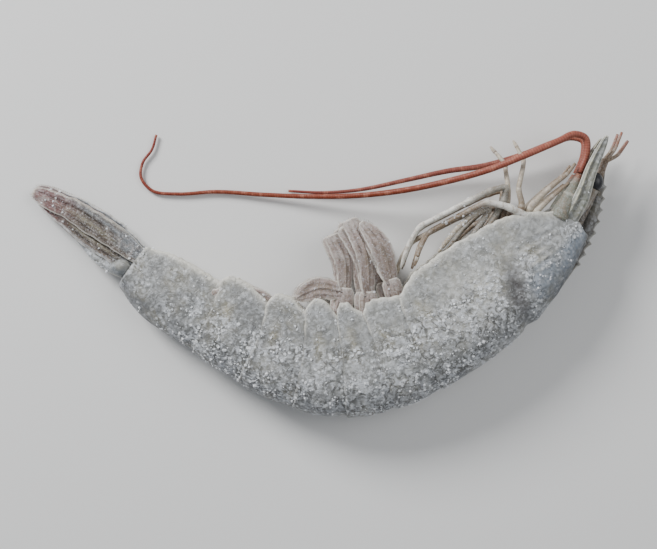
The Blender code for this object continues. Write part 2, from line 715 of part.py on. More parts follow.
def cut_flat(piece, material, collection):
    """Cut off what would reach below the table, which leaves small flat spots to rest on."""
    bm = bmesh.new()
    bmesh.ops.create_cube(bm, size=1.0)
    bmesh.ops.scale(bm, vec=FLOOR_BLOCK, verts=bm.verts)
    bmesh.ops.translate(bm, vec=(0, 0, -FLOOR_BLOCK[2] / 2), verts=bm.verts)
    block = finish_mesh("table_cut", bm, material, collection)
    cut = piece.modifiers.new("flat_spots", "BOOLEAN")
    cut.operation = "DIFFERENCE"
    cut.object = block
    cut.solver = "MANIFOLD"
    apply_modifiers(piece)
    bpy.data.objects.remove(block, do_unlink=True)


def main():
    clear_scene()
    pieces = new_collection("shrimp_pieces")
    whips = new_collection("antennae")
    shell = make_material("shell_grey", SHELL_GREY)
    tail = make_material("tail_tan", TAIL_TAN)
    limb = make_material("limb_cream", LEG_CREAM)
    pink = make_material("swimmeret_pink", SWIMMERET_PINK)
    eye = make_material("eye_black", EYE_BLACK)
    red = make_material("antenna_red", ANTENNA_RED)
    shrimp = carapace(shell, bpy.context.scene.collection)
    for index in range(6):
        abdomen_ring(index, shell, pieces)
    rostrum(shell, pieces)
    tail_fan(tail, pieces)
    head(shell, limb, eye, pieces)
    walking_legs(limb, pieces)
    swimmerets(pink, pieces)
    fuse(shrimp, pieces)
    cut_flat(shrimp, shell, bpy.context.scene.collection)
    keep_largest_shell(shrimp)
    shrimp.name = "shrimp"
    shrimp.data.shade_smooth()
    shrimp.data.set_sharp_from_angle(angle=SHARP_ANGLE)
    tube("antenna_left", smooth_path(ANTENNA_COURSE, ANTENNA_POINTS), ANTENNA_RADII, red, whips,
         sides=6)
    tube("antenna_right", smooth_path(FAR_ANTENNA_COURSE, FAR_ANTENNA_POINTS), ANTENNA_RADII, red,
         whips, sides=6)


main()
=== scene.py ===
"""Looks of the raw whiteleg shrimp, head and shell on, lying on its right side.

Named sizes are in millimetres, apart from those of the floor and the lights, and every mesh is
scaled to metres when it is made. The body is built round one curved axis from the tail joint to
the brow, as in the part itself: a place on it is "along" (distance from the tail joint), "back"
(towards the dorsal ridge) and "side" (towards the left flank, which faces up).
"""

import json
import math

import bmesh
import bpy
import numpy as np
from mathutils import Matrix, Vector, noise

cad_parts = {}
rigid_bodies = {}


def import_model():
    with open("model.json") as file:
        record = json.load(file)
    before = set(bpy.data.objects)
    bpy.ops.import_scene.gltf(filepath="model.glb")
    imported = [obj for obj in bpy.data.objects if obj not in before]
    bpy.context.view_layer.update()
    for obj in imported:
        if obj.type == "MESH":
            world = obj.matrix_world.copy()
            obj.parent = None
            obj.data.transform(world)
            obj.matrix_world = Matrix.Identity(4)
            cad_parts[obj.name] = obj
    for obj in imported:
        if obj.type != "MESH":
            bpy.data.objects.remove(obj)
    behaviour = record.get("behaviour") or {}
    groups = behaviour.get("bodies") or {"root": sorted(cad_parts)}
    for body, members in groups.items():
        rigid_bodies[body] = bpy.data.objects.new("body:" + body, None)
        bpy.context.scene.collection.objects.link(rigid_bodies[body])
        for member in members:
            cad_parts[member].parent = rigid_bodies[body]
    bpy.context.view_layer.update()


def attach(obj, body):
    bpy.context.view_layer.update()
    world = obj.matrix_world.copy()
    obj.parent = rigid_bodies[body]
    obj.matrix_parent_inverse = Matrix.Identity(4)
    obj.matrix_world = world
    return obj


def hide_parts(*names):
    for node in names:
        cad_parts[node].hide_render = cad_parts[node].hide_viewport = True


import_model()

MM = 0.001
UP = Vector((0, 0, 1))

# ---------------------------------------------------------------- sizes shared with the part

AXIS_POINTS = (
    (-44.9, 1.8), (-38.6, -2.9), (-31.0, -7.6), (-20.0, -13.6), (-9.2, -18.6),
    (2.5, -20.6), (12.5, -18.9), (20.5, -14.9), (38.5, -2.5), (58.0, 12.0),
)
RING_JOINTS = (0.0, 23.5, 35.6, 46.8, 56.1, 64.5, 75.5)
BROW = 117.5

BACK_HEIGHT = (
    (0, 5.0), (8, 7.4), (16.8, 8.3), (29.3, 9.3), (41.2, 10.6), (53.1, 12.1), (63.2, 12.4),
    (72.2, 12.5), (76.0, 12.5),
)
BELLY_DEPTH = (
    (0, 5.0), (8, 7.2), (16.8, 7.6), (29.3, 8.0), (41.2, 9.0), (53.1, 10.2), (63.2, 9.6),
    (72.2, 9.8), (76.0, 9.8),
)
HALF_WIDTH = ((0, 3.3), (8, 4.4), (16.8, 5.3), (29.3, 6.5), (41.2, 7.4), (53.1, 7.9), (72.2, 8.0))
AXIS_HEIGHT = (
    (0, 4.7), (16.8, 6.2), (29.3, 7.3), (41.2, 7.7), (53.1, 7.95), (63.2, 8.2), (72.2, 8.45),
    (95, 8.65), (117.5, 9.2),
)

CARAPACE_REAR = 71.6
CARAPACE_BACK = (
    (71.6, 13.1), (76, 13.15), (82, 13.3), (90, 13.0), (98, 11.9), (104, 10.4), (110, 8.0),
    (114, 6.0), (117.5, 4.0),
)
CARAPACE_BELLY = (
    (71.6, 10.3), (78, 11.4), (88, 11.5), (98, 10.7), (104, 9.6), (110, 7.3), (114, 5.2),
    (117.5, 3.6),
)
CARAPACE_WIDTH = (
    (71.6, 8.65), (76, 8.7), (82, 8.8), (92, 8.7), (100, 8.0), (106, 7.1), (112, 5.9),
    (117.5, 4.1),
)
CARAPACE_LEAN = 2.4
CARAPACE_LEAN_END = 86.0
CARAPACE_FLAP = 1.6
FLAP_REAR_SHARE = 0.17
FLAP_FRONT_SHARE = 0.25

LOBE_LENGTHS = (0.6, 2.9, 3.6, 4.3, 4.0, 3.0)
PLATE_SWEEPS = (0.0, 2.6, 3.1, 2.8, 1.9, 1.2)
LOBE_RISE = 0.2
LOBE_RISE_POWER = 0.5
LOBE_FALL = 0.42
LOBE_FALL_POWER = 1.35
SWEEP_REACH = 12.0
BACK_ROUNDNESS = 2.25
SIDE_TUCK = 0.14
REAR_STEP = 0.30
FRONT_TUCK = 0.40
RING_BULGE = 0.35
FLANK_SWELL = 0.7
RING_OVERLAP = 1.6

ROSTRUM_COURSE = ((60.1, 11.0), (62.1, 17.6), (63.8, 25.3))
ROSTRUM_DEPTH = ((0.0, 1.4), (0.2, 2.7), (0.44, 3.0), (0.75, 2.0), (1.0, 0.5))
ROSTRUM_THICKNESS = ((0.0, 1.4), (0.38, 2.0), (1.0, 0.6))
CREST_START, CREST_END, CREST_SPACING = 104.0, 112.0, 4.0
CREST_TEETH = 8
TOOTH_HEIGHT = 0.8
CREST_SINK = 1.1
TEETH_FROM, TEETH_TO = 0.2, 0.86

FAN_ROOT = (-45.3, 3.0, 4.6)
FAN_TIP = (-68.9, 18.9, 1.5)
FAN_CLOSING = 0.6

SNOUT_PLACE = (113.5, -1.6, 0.0)
EYE_STALK = ((55.8, 12.0, 11.0), (58.7, 15.8, 12.0), (60.5, 19.3, 12.2))
EYE_PLACE = (61.0, 20.9, 12.1)
EYE_RADII = (1.9, 2.2, 1.7)
SCALE_COURSE = ((55.0, 11.6, 12.8), (57.7, 17.4, 14.3), (59.9, 23.6, 14.1), (63.7, 31.3, 12.7))
SCALE_WIDTHS = ((0, 3.4), (0.25, 3.7), (0.45, 3.1), (0.7, 2.6), (0.9, 1.8), (1.0, 0.8))
FEELER_BASE = ((56.6, 11.0, 10.6), (59.6, 16.6, 10.9), (61.9, 21.6, 11.0), (63.6, 26.0, 11.0))
FEELER_WHIPS = (
    ((63.3, 25.4, 11.2), (65.6, 28.2, 11.6), (67.2, 32.2, 11.8)),
    ((63.3, 25.4, 10.7), (66.6, 27.0, 10.2), (69.0, 30.4, 9.8)),
)
MOUTH_LIMBS = (
    ((44.4, 11.0, 10.8), (46.2, 15.2, 12.6), (50.4, 19.3, 13.4), (54.6, 22.6, 13.2),
     (56.4, 25.0, 12.6)),
    ((45.4, 10.6, 10.8), (47.6, 14.2, 12.8), (51.2, 17.6, 13.2), (54.9, 20.6, 12.8)),
)
ANTENNA_BASE = ((52.6, 12.6, 12.2), (55.4, 17.8, 12.4), (57.4, 22.6, 11.6))
ANTENNA_COURSE = (
    (57.6, 23.0, 11.5), (59.2, 27.0, 11.2), (59.0, 30.8, 11.6), (56.2, 31.7, 12.6),
    (52.6, 30.1, 13.6), (44.5, 26.6, 14.2), (36.5, 23.5, 12.8), (28.0, 21.2, 10.6),
    (17.9, 19.2, 8.0), (7.0, 18.1, 5.2), (-4.0, 18.0, 2.8), (-15.0, 18.5, 1.4),
    (-26.0, 19.2, 0.9), (-35.0, 18.7, 0.8), (-41.0, 19.5, 0.8), (-43.6, 22.6, 0.8),
    (-43.2, 26.0, 0.8), (-41.0, 29.2, 0.8), (-40.0, 32.6, 0.8),
)
FAR_ANTENNA_COURSE = (
    (57.6, 23.0, 6.9), (59.2, 27.2, 6.9), (59.2, 30.6, 6.7), (56.4, 31.5, 6.3),
    (52.8, 30.4, 5.8), (45.0, 27.4, 5.0), (36.8, 25.1, 4.3), (28.2, 23.9, 3.7),
    (18.4, 21.8, 3.0), (7.5, 19.6, 2.0), (-1.0, 19.0, 1.3), (-9.0, 19.4, 0.8),
)
ANTENNA_RADII = ((0, 0.8), (0.3, 0.74), (0.6, 0.58), (1.0, 0.3))

LEG_ROOTS = (107.0, 103.0, 99.0, 94.0, 88.0)
LEG_JOINTS = (
    ((46.0, 12.6, 13.8), (41.2, 15.0, 15.0), (36.2, 16.3, 14.8), (32.0, 14.2, 13.8),
     (23.3, 9.6, 12.0), (21.6, 6.6, 11.5), (20.0, 1.7, 11.0)),
    ((44.4, 15.6, 13.0), (43.4, 19.0, 13.4), (45.0, 25.7, 11.6), (42.8, 30.6, 8.6)),
    ((41.2, 16.8, 12.4), (41.2, 19.6, 12.6), (40.7, 25.2, 10.4), (37.6, 29.3, 7.8)),
    ((40.2, 16.8, 13.0), (40.8, 19.8, 13.8), (36.8, 18.7, 14.4), (32.2, 16.4, 14.4),
     (20.9, 10.6, 12.8), (18.7, 6.6, 11.8), (16.8, 1.2, 10.8)),
    ((37.3, 15.0, 12.4), (33.4, 13.6, 13.0), (29.6, 10.3, 12.6), (25.4, 4.9, 11.8)),
)
LEG_ROOT_DEPTH = 3.0
LEG_ROOT_SIDE = 2.4
FAR_LEG_PATTERN = (0, 3, 4, 3, 4)
FAR_LEG_SHIFT = ((-0.4, -0.6), (0.4, -0.2), (2.6, 0.8), (-1.6, -3.4), (0.6, -2.2))

SWIMMERETS = (
    {"root": 30.0, "lean": 80, "stem": 3.5, "outer": (103, 7.5, "tapered"),
     "inner": (82, 7.1, "tapered")},
    {"root": 39.5, "lean": 66, "stem": 4.5, "outer": (95, 9.5, "tapered"),
     "inner": (74, 9.0, "tapered")},
    {"root": 54.0, "lean": -8, "stem": 10.5, "outer": (100, 11.4, "tapered"),
     "inner": (11, 12.4, "broad")},
    {"root": 62.5, "lean": -14, "stem": 9.0, "outer": (-3, 17.0, "broad"),
     "inner": (3, 15.8, "broad")},
    {"root": 72.0, "lean": -13, "stem": 8.5, "outer": (-4, 14.6, "tapered"),
     "inner": (0, 12.5, "tapered")},
)
SWIMMERET_DEPTH = 3.2
SWIMMERET_SPREAD = 3.0
SWIMMERET_SPLAY = 1.6
SWIMMERET_CURL = 0.09
SWIMMERET_WIDTHS = {
    "broad": ((0, 2.6), (0.3, 3.8), (0.7, 4.8), (0.92, 4.5), (0.985, 3.4), (1.0, 2.4)),
    "tapered": ((0, 2.8), (0.25, 4.6), (0.5, 5.2), (0.75, 4.4), (0.93, 2.8), (1.0, 1.2)),
}
FAR_SWIMMERET_SHIFT = -1.2
FAR_SWIMMERET_LEAN = 3


# ---------------------------------------------------------------- curves

# Jointed limbs: distance between the points of a path, how far a corner is rounded off as a share
# of the shorter segment beside it, and in how many steps.
LIMB_STEP = 0.45
LIMB_ROUNDING = 0.3
CORNER_STEPS = 6


def slopes(knots, monotone):
    """Slope at each knot: limited so that the curve never overshoots, or plain averaged."""
    steps = [
        (after[1] - before[1]) / (after[0] - before[0])
        for before, after in zip(knots, knots[1:])
    ]
    result = [steps[0]]
    for left, right in zip(steps, steps[1:]):
        if not monotone:
            result.append((left + right) / 2)
        elif left * right <= 0:
            result.append(0.0)
        else:
            result.append(2 * left * right / (left + right))
    result.append(steps[-1])
    return result


def curve_value(knots, place, monotone=True):
    """Value at a place on the smooth curve through (place, value) knots."""
    tangents = slopes(knots, monotone)
    if place <= knots[0][0]:
        return knots[0][1] + (0.0 if monotone else tangents[0] * (place - knots[0][0]))
    if place >= knots[-1][0]:
        return knots[-1][1] + (0.0 if monotone else tangents[-1] * (place - knots[-1][0]))
    index = max(i for i, knot in enumerate(knots[:-1]) if knot[0] <= place)
    start, end = knots[index], knots[index + 1]
    span = end[0] - start[0]
    t = (place - start[0]) / span
    return (
        (2 * t ** 3 - 3 * t ** 2 + 1) * start[1]
        + (t ** 3 - 2 * t ** 2 + t) * span * tangents[index]
        + (3 * t ** 2 - 2 * t ** 3) * end[1]
        + (t ** 3 - t ** 2) * span * tangents[index + 1]
    )


def distances_along(points):
    """Distance of each point of a path from its start."""
    distances = [0.0]
    for start, end in zip(points, points[1:]):
        distances.append(distances[-1] + (Vector(end) - Vector(start)).length)
    return distances


def path_knots(points):
    """One list of (distance, coordinate) knots for each coordinate of a path."""
    distances = distances_along(points)
    return [list(zip(distances, coordinates)) for coordinates in zip(*points)]


def path_point(knots, distance):
    """Point at a distance along the smooth curve through a path's knots."""
    return Vector([curve_value(axis, distance, monotone=False) for axis in knots])


def smooth_path(points, count):
    """Evenly spaced points on the smooth curve through a path's points."""
    knots = path_knots(points)
    length = knots[0][-1][0]
    return [path_point(knots, length * i / (count - 1)) for i in range(count)]


def jointed_path(points):
    """Points along straight segments whose corners are rounded, with the share of each corner."""
    corners = [Vector(point) for point in points]
    dense = [corners[0]]
    for before, corner, after in zip(corners, corners[1:], corners[2:]):
        reach = LIMB_ROUNDING * min((corner - before).length, (after - corner).length)
        start = corner + (before - corner).normalized() * reach
        end = corner + (after - corner).normalized() * reach
        for i in range(CORNER_STEPS + 1):
            t = i / CORNER_STEPS
            dense.append(start.lerp(corner, t).lerp(corner.lerp(end, t), t))
    dense.append(corners[-1])
    distances = distances_along(dense)
    count = max(8, int(distances[-1] / LIMB_STEP))
    wanted = np.linspace(0.0, distances[-1], count)
    columns = [np.interp(wanted, distances, coordinates) for coordinates in zip(*dense)]
    path = [Vector(values) for values in zip(*columns)]
    bends = []
    for corner in corners[1:-1]:
        nearest = min(range(count), key=lambda i: (path[i] - corner).length)
        bends.append(nearest / (count - 1))
    return path, bends


AXIS_KNOTS = path_knots(AXIS_POINTS)


def axis_point(along):
    """Point on the body axis."""
    return Vector((
        curve_value(AXIS_KNOTS[0], along, monotone=False),
        curve_value(AXIS_KNOTS[1], along, monotone=False),
        curve_value(AXIS_HEIGHT, along),
    ))


def body_frame(along):
    """Point on the axis with the directions ahead, to the back and to the left flank."""
    ahead = (axis_point(along + 0.3) - axis_point(along - 0.3)).normalized()
    back = ahead.cross(UP).normalized()
    return axis_point(along), ahead, back, back.cross(ahead)


def body_point(along, back, side):
    """One place on the body."""
    origin, _, back_direction, side_direction = body_frame(along)
    return origin + back_direction * back + side_direction * side


AXIS_TABLE_STEP = 0.25
AXIS_TABLE = np.arange(-4.0, BROW + 6.0, AXIS_TABLE_STEP)
FRAME_TABLE = [
    np.array([tuple(body_frame(along)[part]) for along in AXIS_TABLE]) for part in (0, 2, 3)
]


def body_points(along, back, side):
    """Many places on the body at once, from arrays of the same shape."""
    origin, back_direction, side_direction = (
        np.stack([np.interp(along, AXIS_TABLE, table[:, axis]) for axis in range(3)], axis=-1)
        for table in FRAME_TABLE
    )
    return origin + back_direction * back[..., None] + side_direction * side[..., None]


def ease(value, low, high):
    """0 below low, 1 above high, smooth between."""
    t = np.clip((value - low) / (high - low), 0.0, 1.0)
    return t * t * (3 - 2 * t)


def hump(value, centre, width):
    """1 at the centre, falling smoothly to 0 on both sides."""
    return np.exp(-((value - centre) / width) ** 2)


# ---------------------------------------------------------------- colours

def linear(red, green, blue):
    """Linear colour from the usual 0 to 255 values."""
    shares = (red / 255, green / 255, blue / 255)
    return tuple(
        share / 12.92 if share <= 0.04045 else ((share + 0.055) / 1.055) ** 2.4
        for share in shares
    )


SHELL_GREY = linear(150, 151, 149)
SHELL_PALE = linear(196, 195, 187)
# Darker grey towards the dorsal ridge, which turns away from the light: painted shade.
SHELL_BACK_SHADE = linear(100, 102, 106)
SHELL_OLIVE = linear(146, 140, 118)
SHELL_MIST = linear(186, 187, 185)
SHELL_SHADE = linear(112, 113, 112)
HEAD_BLUE = linear(122, 134, 148)
# Dark band along the head's dorsal ridge, which curves away from the light: painted shade.
HEAD_RIDGE_SHADE = linear(62, 66, 72)
SNOUT_GREY = linear(140, 140, 136)
# Dark in the cervical groove and in the hollow behind it: painted shade.
GROOVE_SHADE = linear(82, 79, 78)
# Dark pigment of the stipple and of the spots by the joints; also the painted shadow line behind
# each ring's rear edge.
STIPPLE_AND_SHADOW_DARK = linear(74, 74, 71)
RIM_CREAM = linear(222, 219, 208)
FROST_WHITE = linear(214, 218, 224)
ICE_BLUE = linear(200, 207, 216)
SPECK_WHITE = linear(234, 237, 240)
GRAIN_GREY = linear(205, 209, 214)
GRAIN_WHITE = linear(238, 240, 243)
FLESH = linear(176, 172, 160)
FAN_TAN = linear(94, 84, 73)
FAN_BLUE = linear(112, 116, 119)
FAN_DARK = linear(52, 40, 33)
FAN_TIP_MAUVE = linear(112, 74, 72)
FAN_RED = linear(120, 52, 40)
FAN_OLIVE = linear(128, 122, 104)
LIMB_CREAM = linear(184, 174, 156)
LIMB_TAN = linear(136, 118, 98)
LIMB_GREY = linear(132, 128, 118)
LIMB_BROWN = linear(98, 80, 62)
LIMB_WHITE = linear(222, 220, 212)
# Dark grey-brown of the rostrum and of the feelers' bases, which lie in shadow: painted shade.
PAINTED_SHADE_BROWN = linear(78, 72, 64)
FEELER_END = linear(150, 96, 78)
SCALE_DARK = linear(66, 62, 54)
SCALE_GREY = linear(116, 118, 106)
SCALE_RIB = linear(206, 202, 178)
SWIM_PINK = linear(160, 144, 138)
SWIM_BROWN = linear(84, 69, 61)
SWIM_TAN = linear(124, 109, 93)
SWIM_WHITE = linear(188, 180, 174)
ANTENNA_DEEP = linear(130, 56, 30)
ANTENNA_ROSE = linear(134, 70, 58)
ANTENNA_SALMON = linear(158, 90, 74)
# Paler patches on the whips: partly their own pale streaks, partly painted highlight.
ANTENNA_PALE_AND_HIGHLIGHT = linear(188, 124, 102)
ANTENNA_RING = linear(92, 36, 24)
ANTENNA_END = linear(130, 52, 42)
ANTENNA_ROOT = linear(158, 96, 74)
EYE_BLACK = linear(22, 22, 26)
EYE_FACET = linear(38, 38, 43)
EYE_BLOOM = linear(130, 134, 140)

# The cervical groove and the ridge in front of it cross mid flank here, and both lean back
# towards the dorsal ridge.
GROOVE_PLACE = 98.2
RIDGE_PLACE = 101.2
GROOVE_LEAN = 3.6


def groove_line(height, place=GROOVE_PLACE):
    """Distance along the body at which the groove, or the ridge beside it, lies."""
    return place - GROOVE_LEAN * height


def groove_hollow(along, height):
    """Shaded hollow behind the cervical groove, half way up the flank."""
    return hump(along, 96.2, 2.4) * hump(height, 0.32, 0.2)


def brow_strokes(along, height):
    """Short pale ridges along the side of the brow."""
    place = hump(along, 105.5, 2.6) * hump(height, 0.1, 0.26)
    return hump(np.sin(height * 33 - along * 0.5), 1.0, 0.4) * place


def frost_cover(along, height):
    """How thickly the frost lies: thin on the tail ring, the side plates, mid head and brow."""
    cover = 0.3 + 0.7 * ease(height, -0.6, 0.05) * ease(along, 10, 30)
    for thinner in (
        0.25 * hump(along, 91, 7) * hump(height, -0.2, 0.45),
        0.75 * ease(along, 98, 104) * ease(height, 0.3, 0.6),
        # The groove here and the hollow two lines below get thinner frost, so that their painted
        # shade stays dark.
        0.75 * hump(along, groove_line(height), 2.4),
        0.35 * hump(along, 105.5, 3.5) * hump(height, 0.12, 0.3),
        0.7 * groove_hollow(along, height),
    ):
        cover = cover * (1 - thinner)
    cover = np.maximum(cover, 0.9 * hump(along, 0.2, 1.5))
    return np.clip(cover * (1 - 0.3 * ease(along, 100, 108)), 0.0, 1.0)


def mix_tint(base, colour, amount):
    """Blend a colour into an array of colours by an array of amounts."""
    amount = np.clip(amount, 0.0, 1.0)[..., None]
    return base * (1 - amount) + np.array(colour) * amount


def layered(base, shape, *layers):
    """Array of colours: a base with (colour, amounts) layers laid over it in turn."""
    tint = np.zeros(shape + (3,)) + np.array(base)
    for colour, amount in layers:
        tint = mix_tint(tint, colour, amount)
    return tint


def joint_layers(along, height):
    """Olive patch and dark spot beside each joint of the rings, and a dark line of painted shadow
    behind each overlapping rear edge.
    """
    layers = []
    for joint in RING_JOINTS[1:]:
        olive = hump(along, joint + 2.4 + 2.0 * height, 1.3) * hump(height, -0.4, 0.3)
        spot = hump(along, joint - 0.9, 0.6) * hump(height, -0.15, 0.06)
        layers += [
            (SHELL_OLIVE, 0.95 * olive),
            # Painted shadow: a dark line just behind the rear edge of the ring that overlaps here.
            (STIPPLE_AND_SHADOW_DARK, 0.4 * hump(along, joint - 2.2, 0.7)),
            (STIPPLE_AND_SHADOW_DARK, 1.6 * spot),
        ]
    return layers


def shell_tint(along, height):
    """Colour of the body shell. Height is 1 at the dorsal ridge, 0 at mid flank, -1 at the edge."""
    brow = ease(along, 97, 102)
    combs = brow * (0.5 + 0.5 * np.sin(along * 8.0)) * hump(height, 0.55, 0.22)
    groove = hump(along, groove_line(height), 2.5) * ease(height, -0.45, 0.1)
    return layered(
        SHELL_GREY, along.shape,
        (SHELL_MIST, 0.5 * hump(along, 50, 13) * hump(height, 0.15, 0.5)),
        (SHELL_SHADE, 0.95 * ease(along, 66, 22)),
        # Painted shade: darker towards the dorsal ridge, the side turned away from the key light.
        (SHELL_BACK_SHADE, 0.95 * ease(height, 0.4, 0.9)),
        (SHELL_PALE, hump(along, 88, 10) * hump(height, -0.1, 0.55)),
        *joint_layers(along, height),
        (SHELL_OLIVE, 0.8 * hump(along, 104.5, 2.2) * hump(height, -0.2, 0.2)),
        (HEAD_BLUE, 0.9 * brow * ease(height, 0.0, 0.4)),
        (ICE_BLUE, 0.3 * combs),
        # Painted shade: a dark band along the head's dorsal ridge.
        (HEAD_RIDGE_SHADE, 0.9 * ease(along, 94, 101) * ease(height, 0.62, 0.97)),
        (ICE_BLUE, 0.8 * hump(along, 66.5, 2.6) * hump(height, 0.3, 0.13)),
        # Painted shade in the cervical groove and in the hollow behind it.
        (GROOVE_SHADE, groove * ease(height, 0.95, 0.5)),
        (GROOVE_SHADE, 0.7 * groove_hollow(along, height)),
    )


# ---------------------------------------------------------------- meshes

BALL_DETAIL = 4
# Unevenness of a limb's skin: size, depth, seed and the direction in which it is shifted.
LIMB_WRINKLE = (1.3, 0.10, 4)
JOG = np.array([0.6, 0.6, 0.5])
# Bristles: seed, how far they bow and (share of the length, share of the thickness).
HAIR_SEED = 1
HAIR_BOW = 0.06
HAIR_TAPER = ((0.0, 1.0), (0.5, 0.75), (1.0, 0.2))
HAIR_SIDES = 3


def add_piece(name, points, faces, material, tint=None, rim=0.0, frost=None,
              node="shrimp"):
    """Make one object from points in millimetres. It stands for a node and rides on the root.

    Tint, rim and frost hold a value for each point, or one for them all.
    """
    points = np.asarray(points, dtype=float).reshape(-1, 3).copy()
    points[:, 2] = np.maximum(points[:, 2], 0.0)
    mesh = bpy.data.meshes.new(name)
    mesh.from_pydata((points * MM).tolist(), [], faces)
    if tint is not None:
        layer = mesh.attributes.new("tint", "FLOAT_COLOR", "POINT")
        colours = np.ones((len(points), 4))
        colours[:, :3] = np.reshape(tint, (-1, 3))
        layer.data.foreach_set("color", colours.astype(np.float32).ravel())
    for key, values in (("rim", rim), ("frost", frost)):
        if values is not None:
            layer = mesh.attributes.new(key, "FLOAT", "POINT")
            values = np.broadcast_to(np.ravel(values), len(points))
            layer.data.foreach_set("value", values.astype(np.float32))
    mesh.validate()
    bm = bmesh.new()
    bm.from_mesh(mesh)
    bmesh.ops.recalc_face_normals(bm, faces=bm.faces)
    bm.to_mesh(mesh)
    bm.free()
    mesh.shade_smooth()
    mesh.materials.append(material)
    piece = bpy.data.objects.new(name, mesh)
    bpy.context.scene.collection.objects.link(piece)
    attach(piece, "root")
    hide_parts(node)
    return piece


def tube_faces(rows, columns, first=0):
    """Faces of a closed tube of rows of points, with both ends closed by one face each."""
    faces = []
    for row in range(rows - 1):
        for column in range(columns):
            following = (column + 1) % columns
            here = first + row * columns
            there = here + columns
            faces.append((here + column, here + following, there + following, there + column))
    faces.append(tuple(range(first, first + columns)))
    faces.append(tuple(range(first + (rows - 1) * columns, first + rows * columns)))
    return faces


def cross_frames(path, normal):
    """Directions across and over each point of a path."""
    frames = []
    for i in range(len(path)):
        ahead = (path[min(i + 1, len(path) - 1)] - path[max(i - 1, 0)]).normalized()
        across = ahead.cross(normal).normalized()
        frames.append((across, across.cross(ahead)))
    return frames


def in_rows(values, columns):
    """One value for each row of a tube, repeated over its columns."""
    return np.asarray(values)[:, None] * np.ones((1, columns))


def wrinkle(points, size, depth, seed):
    """Small natural unevenness for an array of points, in millimetres."""
    offset = Vector((seed * 7.3, seed * 3.1, seed * 5.7))
    values = [noise.noise(Vector(point) / size + offset) for point in points.reshape(-1, 3)]
    return depth * np.array(values).reshape(points.shape[:-1])


def tube_points(path, radius_at, sides):
    """A ring of points round each point of a path."""
    rows = []
    for i, (point, (across, over)) in enumerate(zip(path, cross_frames(path, UP))):
        radius = radius_at(i / (len(path) - 1))
        angles = [math.tau * k / sides for k in range(sides)]
        rows.append([
            tuple(point + across * radius * math.cos(angle) + over * radius * math.sin(angle))
            for angle in angles
        ])
    return np.array(rows)


def add_limb(name, points, radii, material, tint_at, sides=12, swell=0.12, frost=0.0):
    """Jointed limb: straight segments with a swollen collar at each joint."""
    path, bends = jointed_path(points)

    def radius_at(share):
        radius = curve_value(radii, share)
        for bend in bends:
            radius *= 1 + swell * math.exp(-((share - bend + 0.008) / 0.014) ** 2)
            radius *= 1 - 0.3 * swell * math.exp(-((share - bend - 0.03) / 0.018) ** 2)
        return radius

    rows = tube_points(path, radius_at, sides)
    share = in_rows(np.linspace(0, 1, len(path)), sides)
    rim = np.zeros(share.shape)
    for bend in bends:
        rim += 0.4 * hump(share, bend, 0.01)
    rows += wrinkle(rows, *LIMB_WRINKLE)[..., None] * JOG
    add_piece(name, rows, tube_faces(*rows.shape[:2]), material, tint=tint_at(share),
              rim=rim, frost=frost)


def add_blade(name, path, widths, thickness, normal, material, tint_at, ribs,
              thinning=0.6, steps=28, wave=0.0, frost=0.0, root_frost=0.0, ragged=0.0):
    """Thin leaf with a lens-shaped section. Each rib is (place across, height, width)."""
    rows, shares, places = [], [], []
    across_steps = np.linspace(-1.0, 1.0, steps)
    for i, (point, (across, over)) in enumerate(zip(path, cross_frames(path, Vector(normal)))):
        share = i / (len(path) - 1)
        half = curve_value(widths, share) / 2
        rib_fade = math.sin(math.pi * min(1.0, 0.08 + share * 0.92)) ** 0.5
        left, right = (
            half * (1 + ragged * noise.noise(Vector((share * 13.0, edge, len(name)))))
            for edge in (0.5, 8.5)
        )
        row = []
        for side, order in ((1, across_steps), (-1, across_steps[::-1])):
            for place in order:
                height = thickness * (1 - thinning * share) / 2 * (1 - abs(place) ** 2.5) ** 0.5
                for centre, rise, width in ribs:
                    height += rise * rib_fade * math.exp(-((place - centre) / width) ** 2)
                lift = wave * place * math.sin(share * 9 + 2 * place)
                reach = (right if place > 0 else left) * place
                row.append(tuple(point + across * reach + over * (lift + height * side)))
                places.append(place)
                shares.append(share)
        rows.append(row)
    rows = np.array(rows)
    share = np.array(shares).reshape(rows.shape[:2])
    place = np.array(places).reshape(rows.shape[:2])
    add_piece(name, rows, tube_faces(*rows.shape[:2]), material,
              tint=tint_at(share, place),
              rim=np.maximum(ease(abs(place), 0.86, 1.0), ease(share, 0.975, 1.0)),
              frost=np.maximum(frost, root_frost * ease(share, 0.25, 0.08)))


def add_ball(name, centre, radii, material, tint):
    """Smooth ball of one colour."""
    bm = bmesh.new()
    bmesh.ops.create_icosphere(bm, subdivisions=BALL_DETAIL, radius=1.0)
    points = np.array([tuple(vert.co) for vert in bm.verts]) * np.array(radii)
    faces = [tuple(vert.index for vert in face.verts) for face in bm.faces]
    bm.free()
    add_piece(name, points + np.array(centre), faces, material, tint=tint)


def add_hairs(name, roots, tips, radius, material, tint):
    """Many fine curved bristles in one mesh, each a tapered tube."""
    rng = np.random.default_rng(HAIR_SEED)
    points, faces = [], []
    for root, tip in zip(roots, tips):
        bow = Vector(rng.normal(0, HAIR_BOW, 3)) * (tip - root).length
        ahead = (tip - root).normalized()
        across = ahead.cross(Vector((0.3, 0.2, 1))).normalized()
        over = across.cross(ahead)
        first = len(points)
        for share, thickness in HAIR_TAPER:
            centre = root.lerp(tip, share) + bow * (4 * share * (1 - share))
            for k in range(HAIR_SIDES):
                angle = math.tau * k / HAIR_SIDES
                spoke = across * math.cos(angle) + over * math.sin(angle)
                points.append(tuple(centre + spoke * radius * thickness))
        faces += tube_faces(len(HAIR_TAPER), HAIR_SIDES, first)
    add_piece(name, points, faces, material, tint=tint)


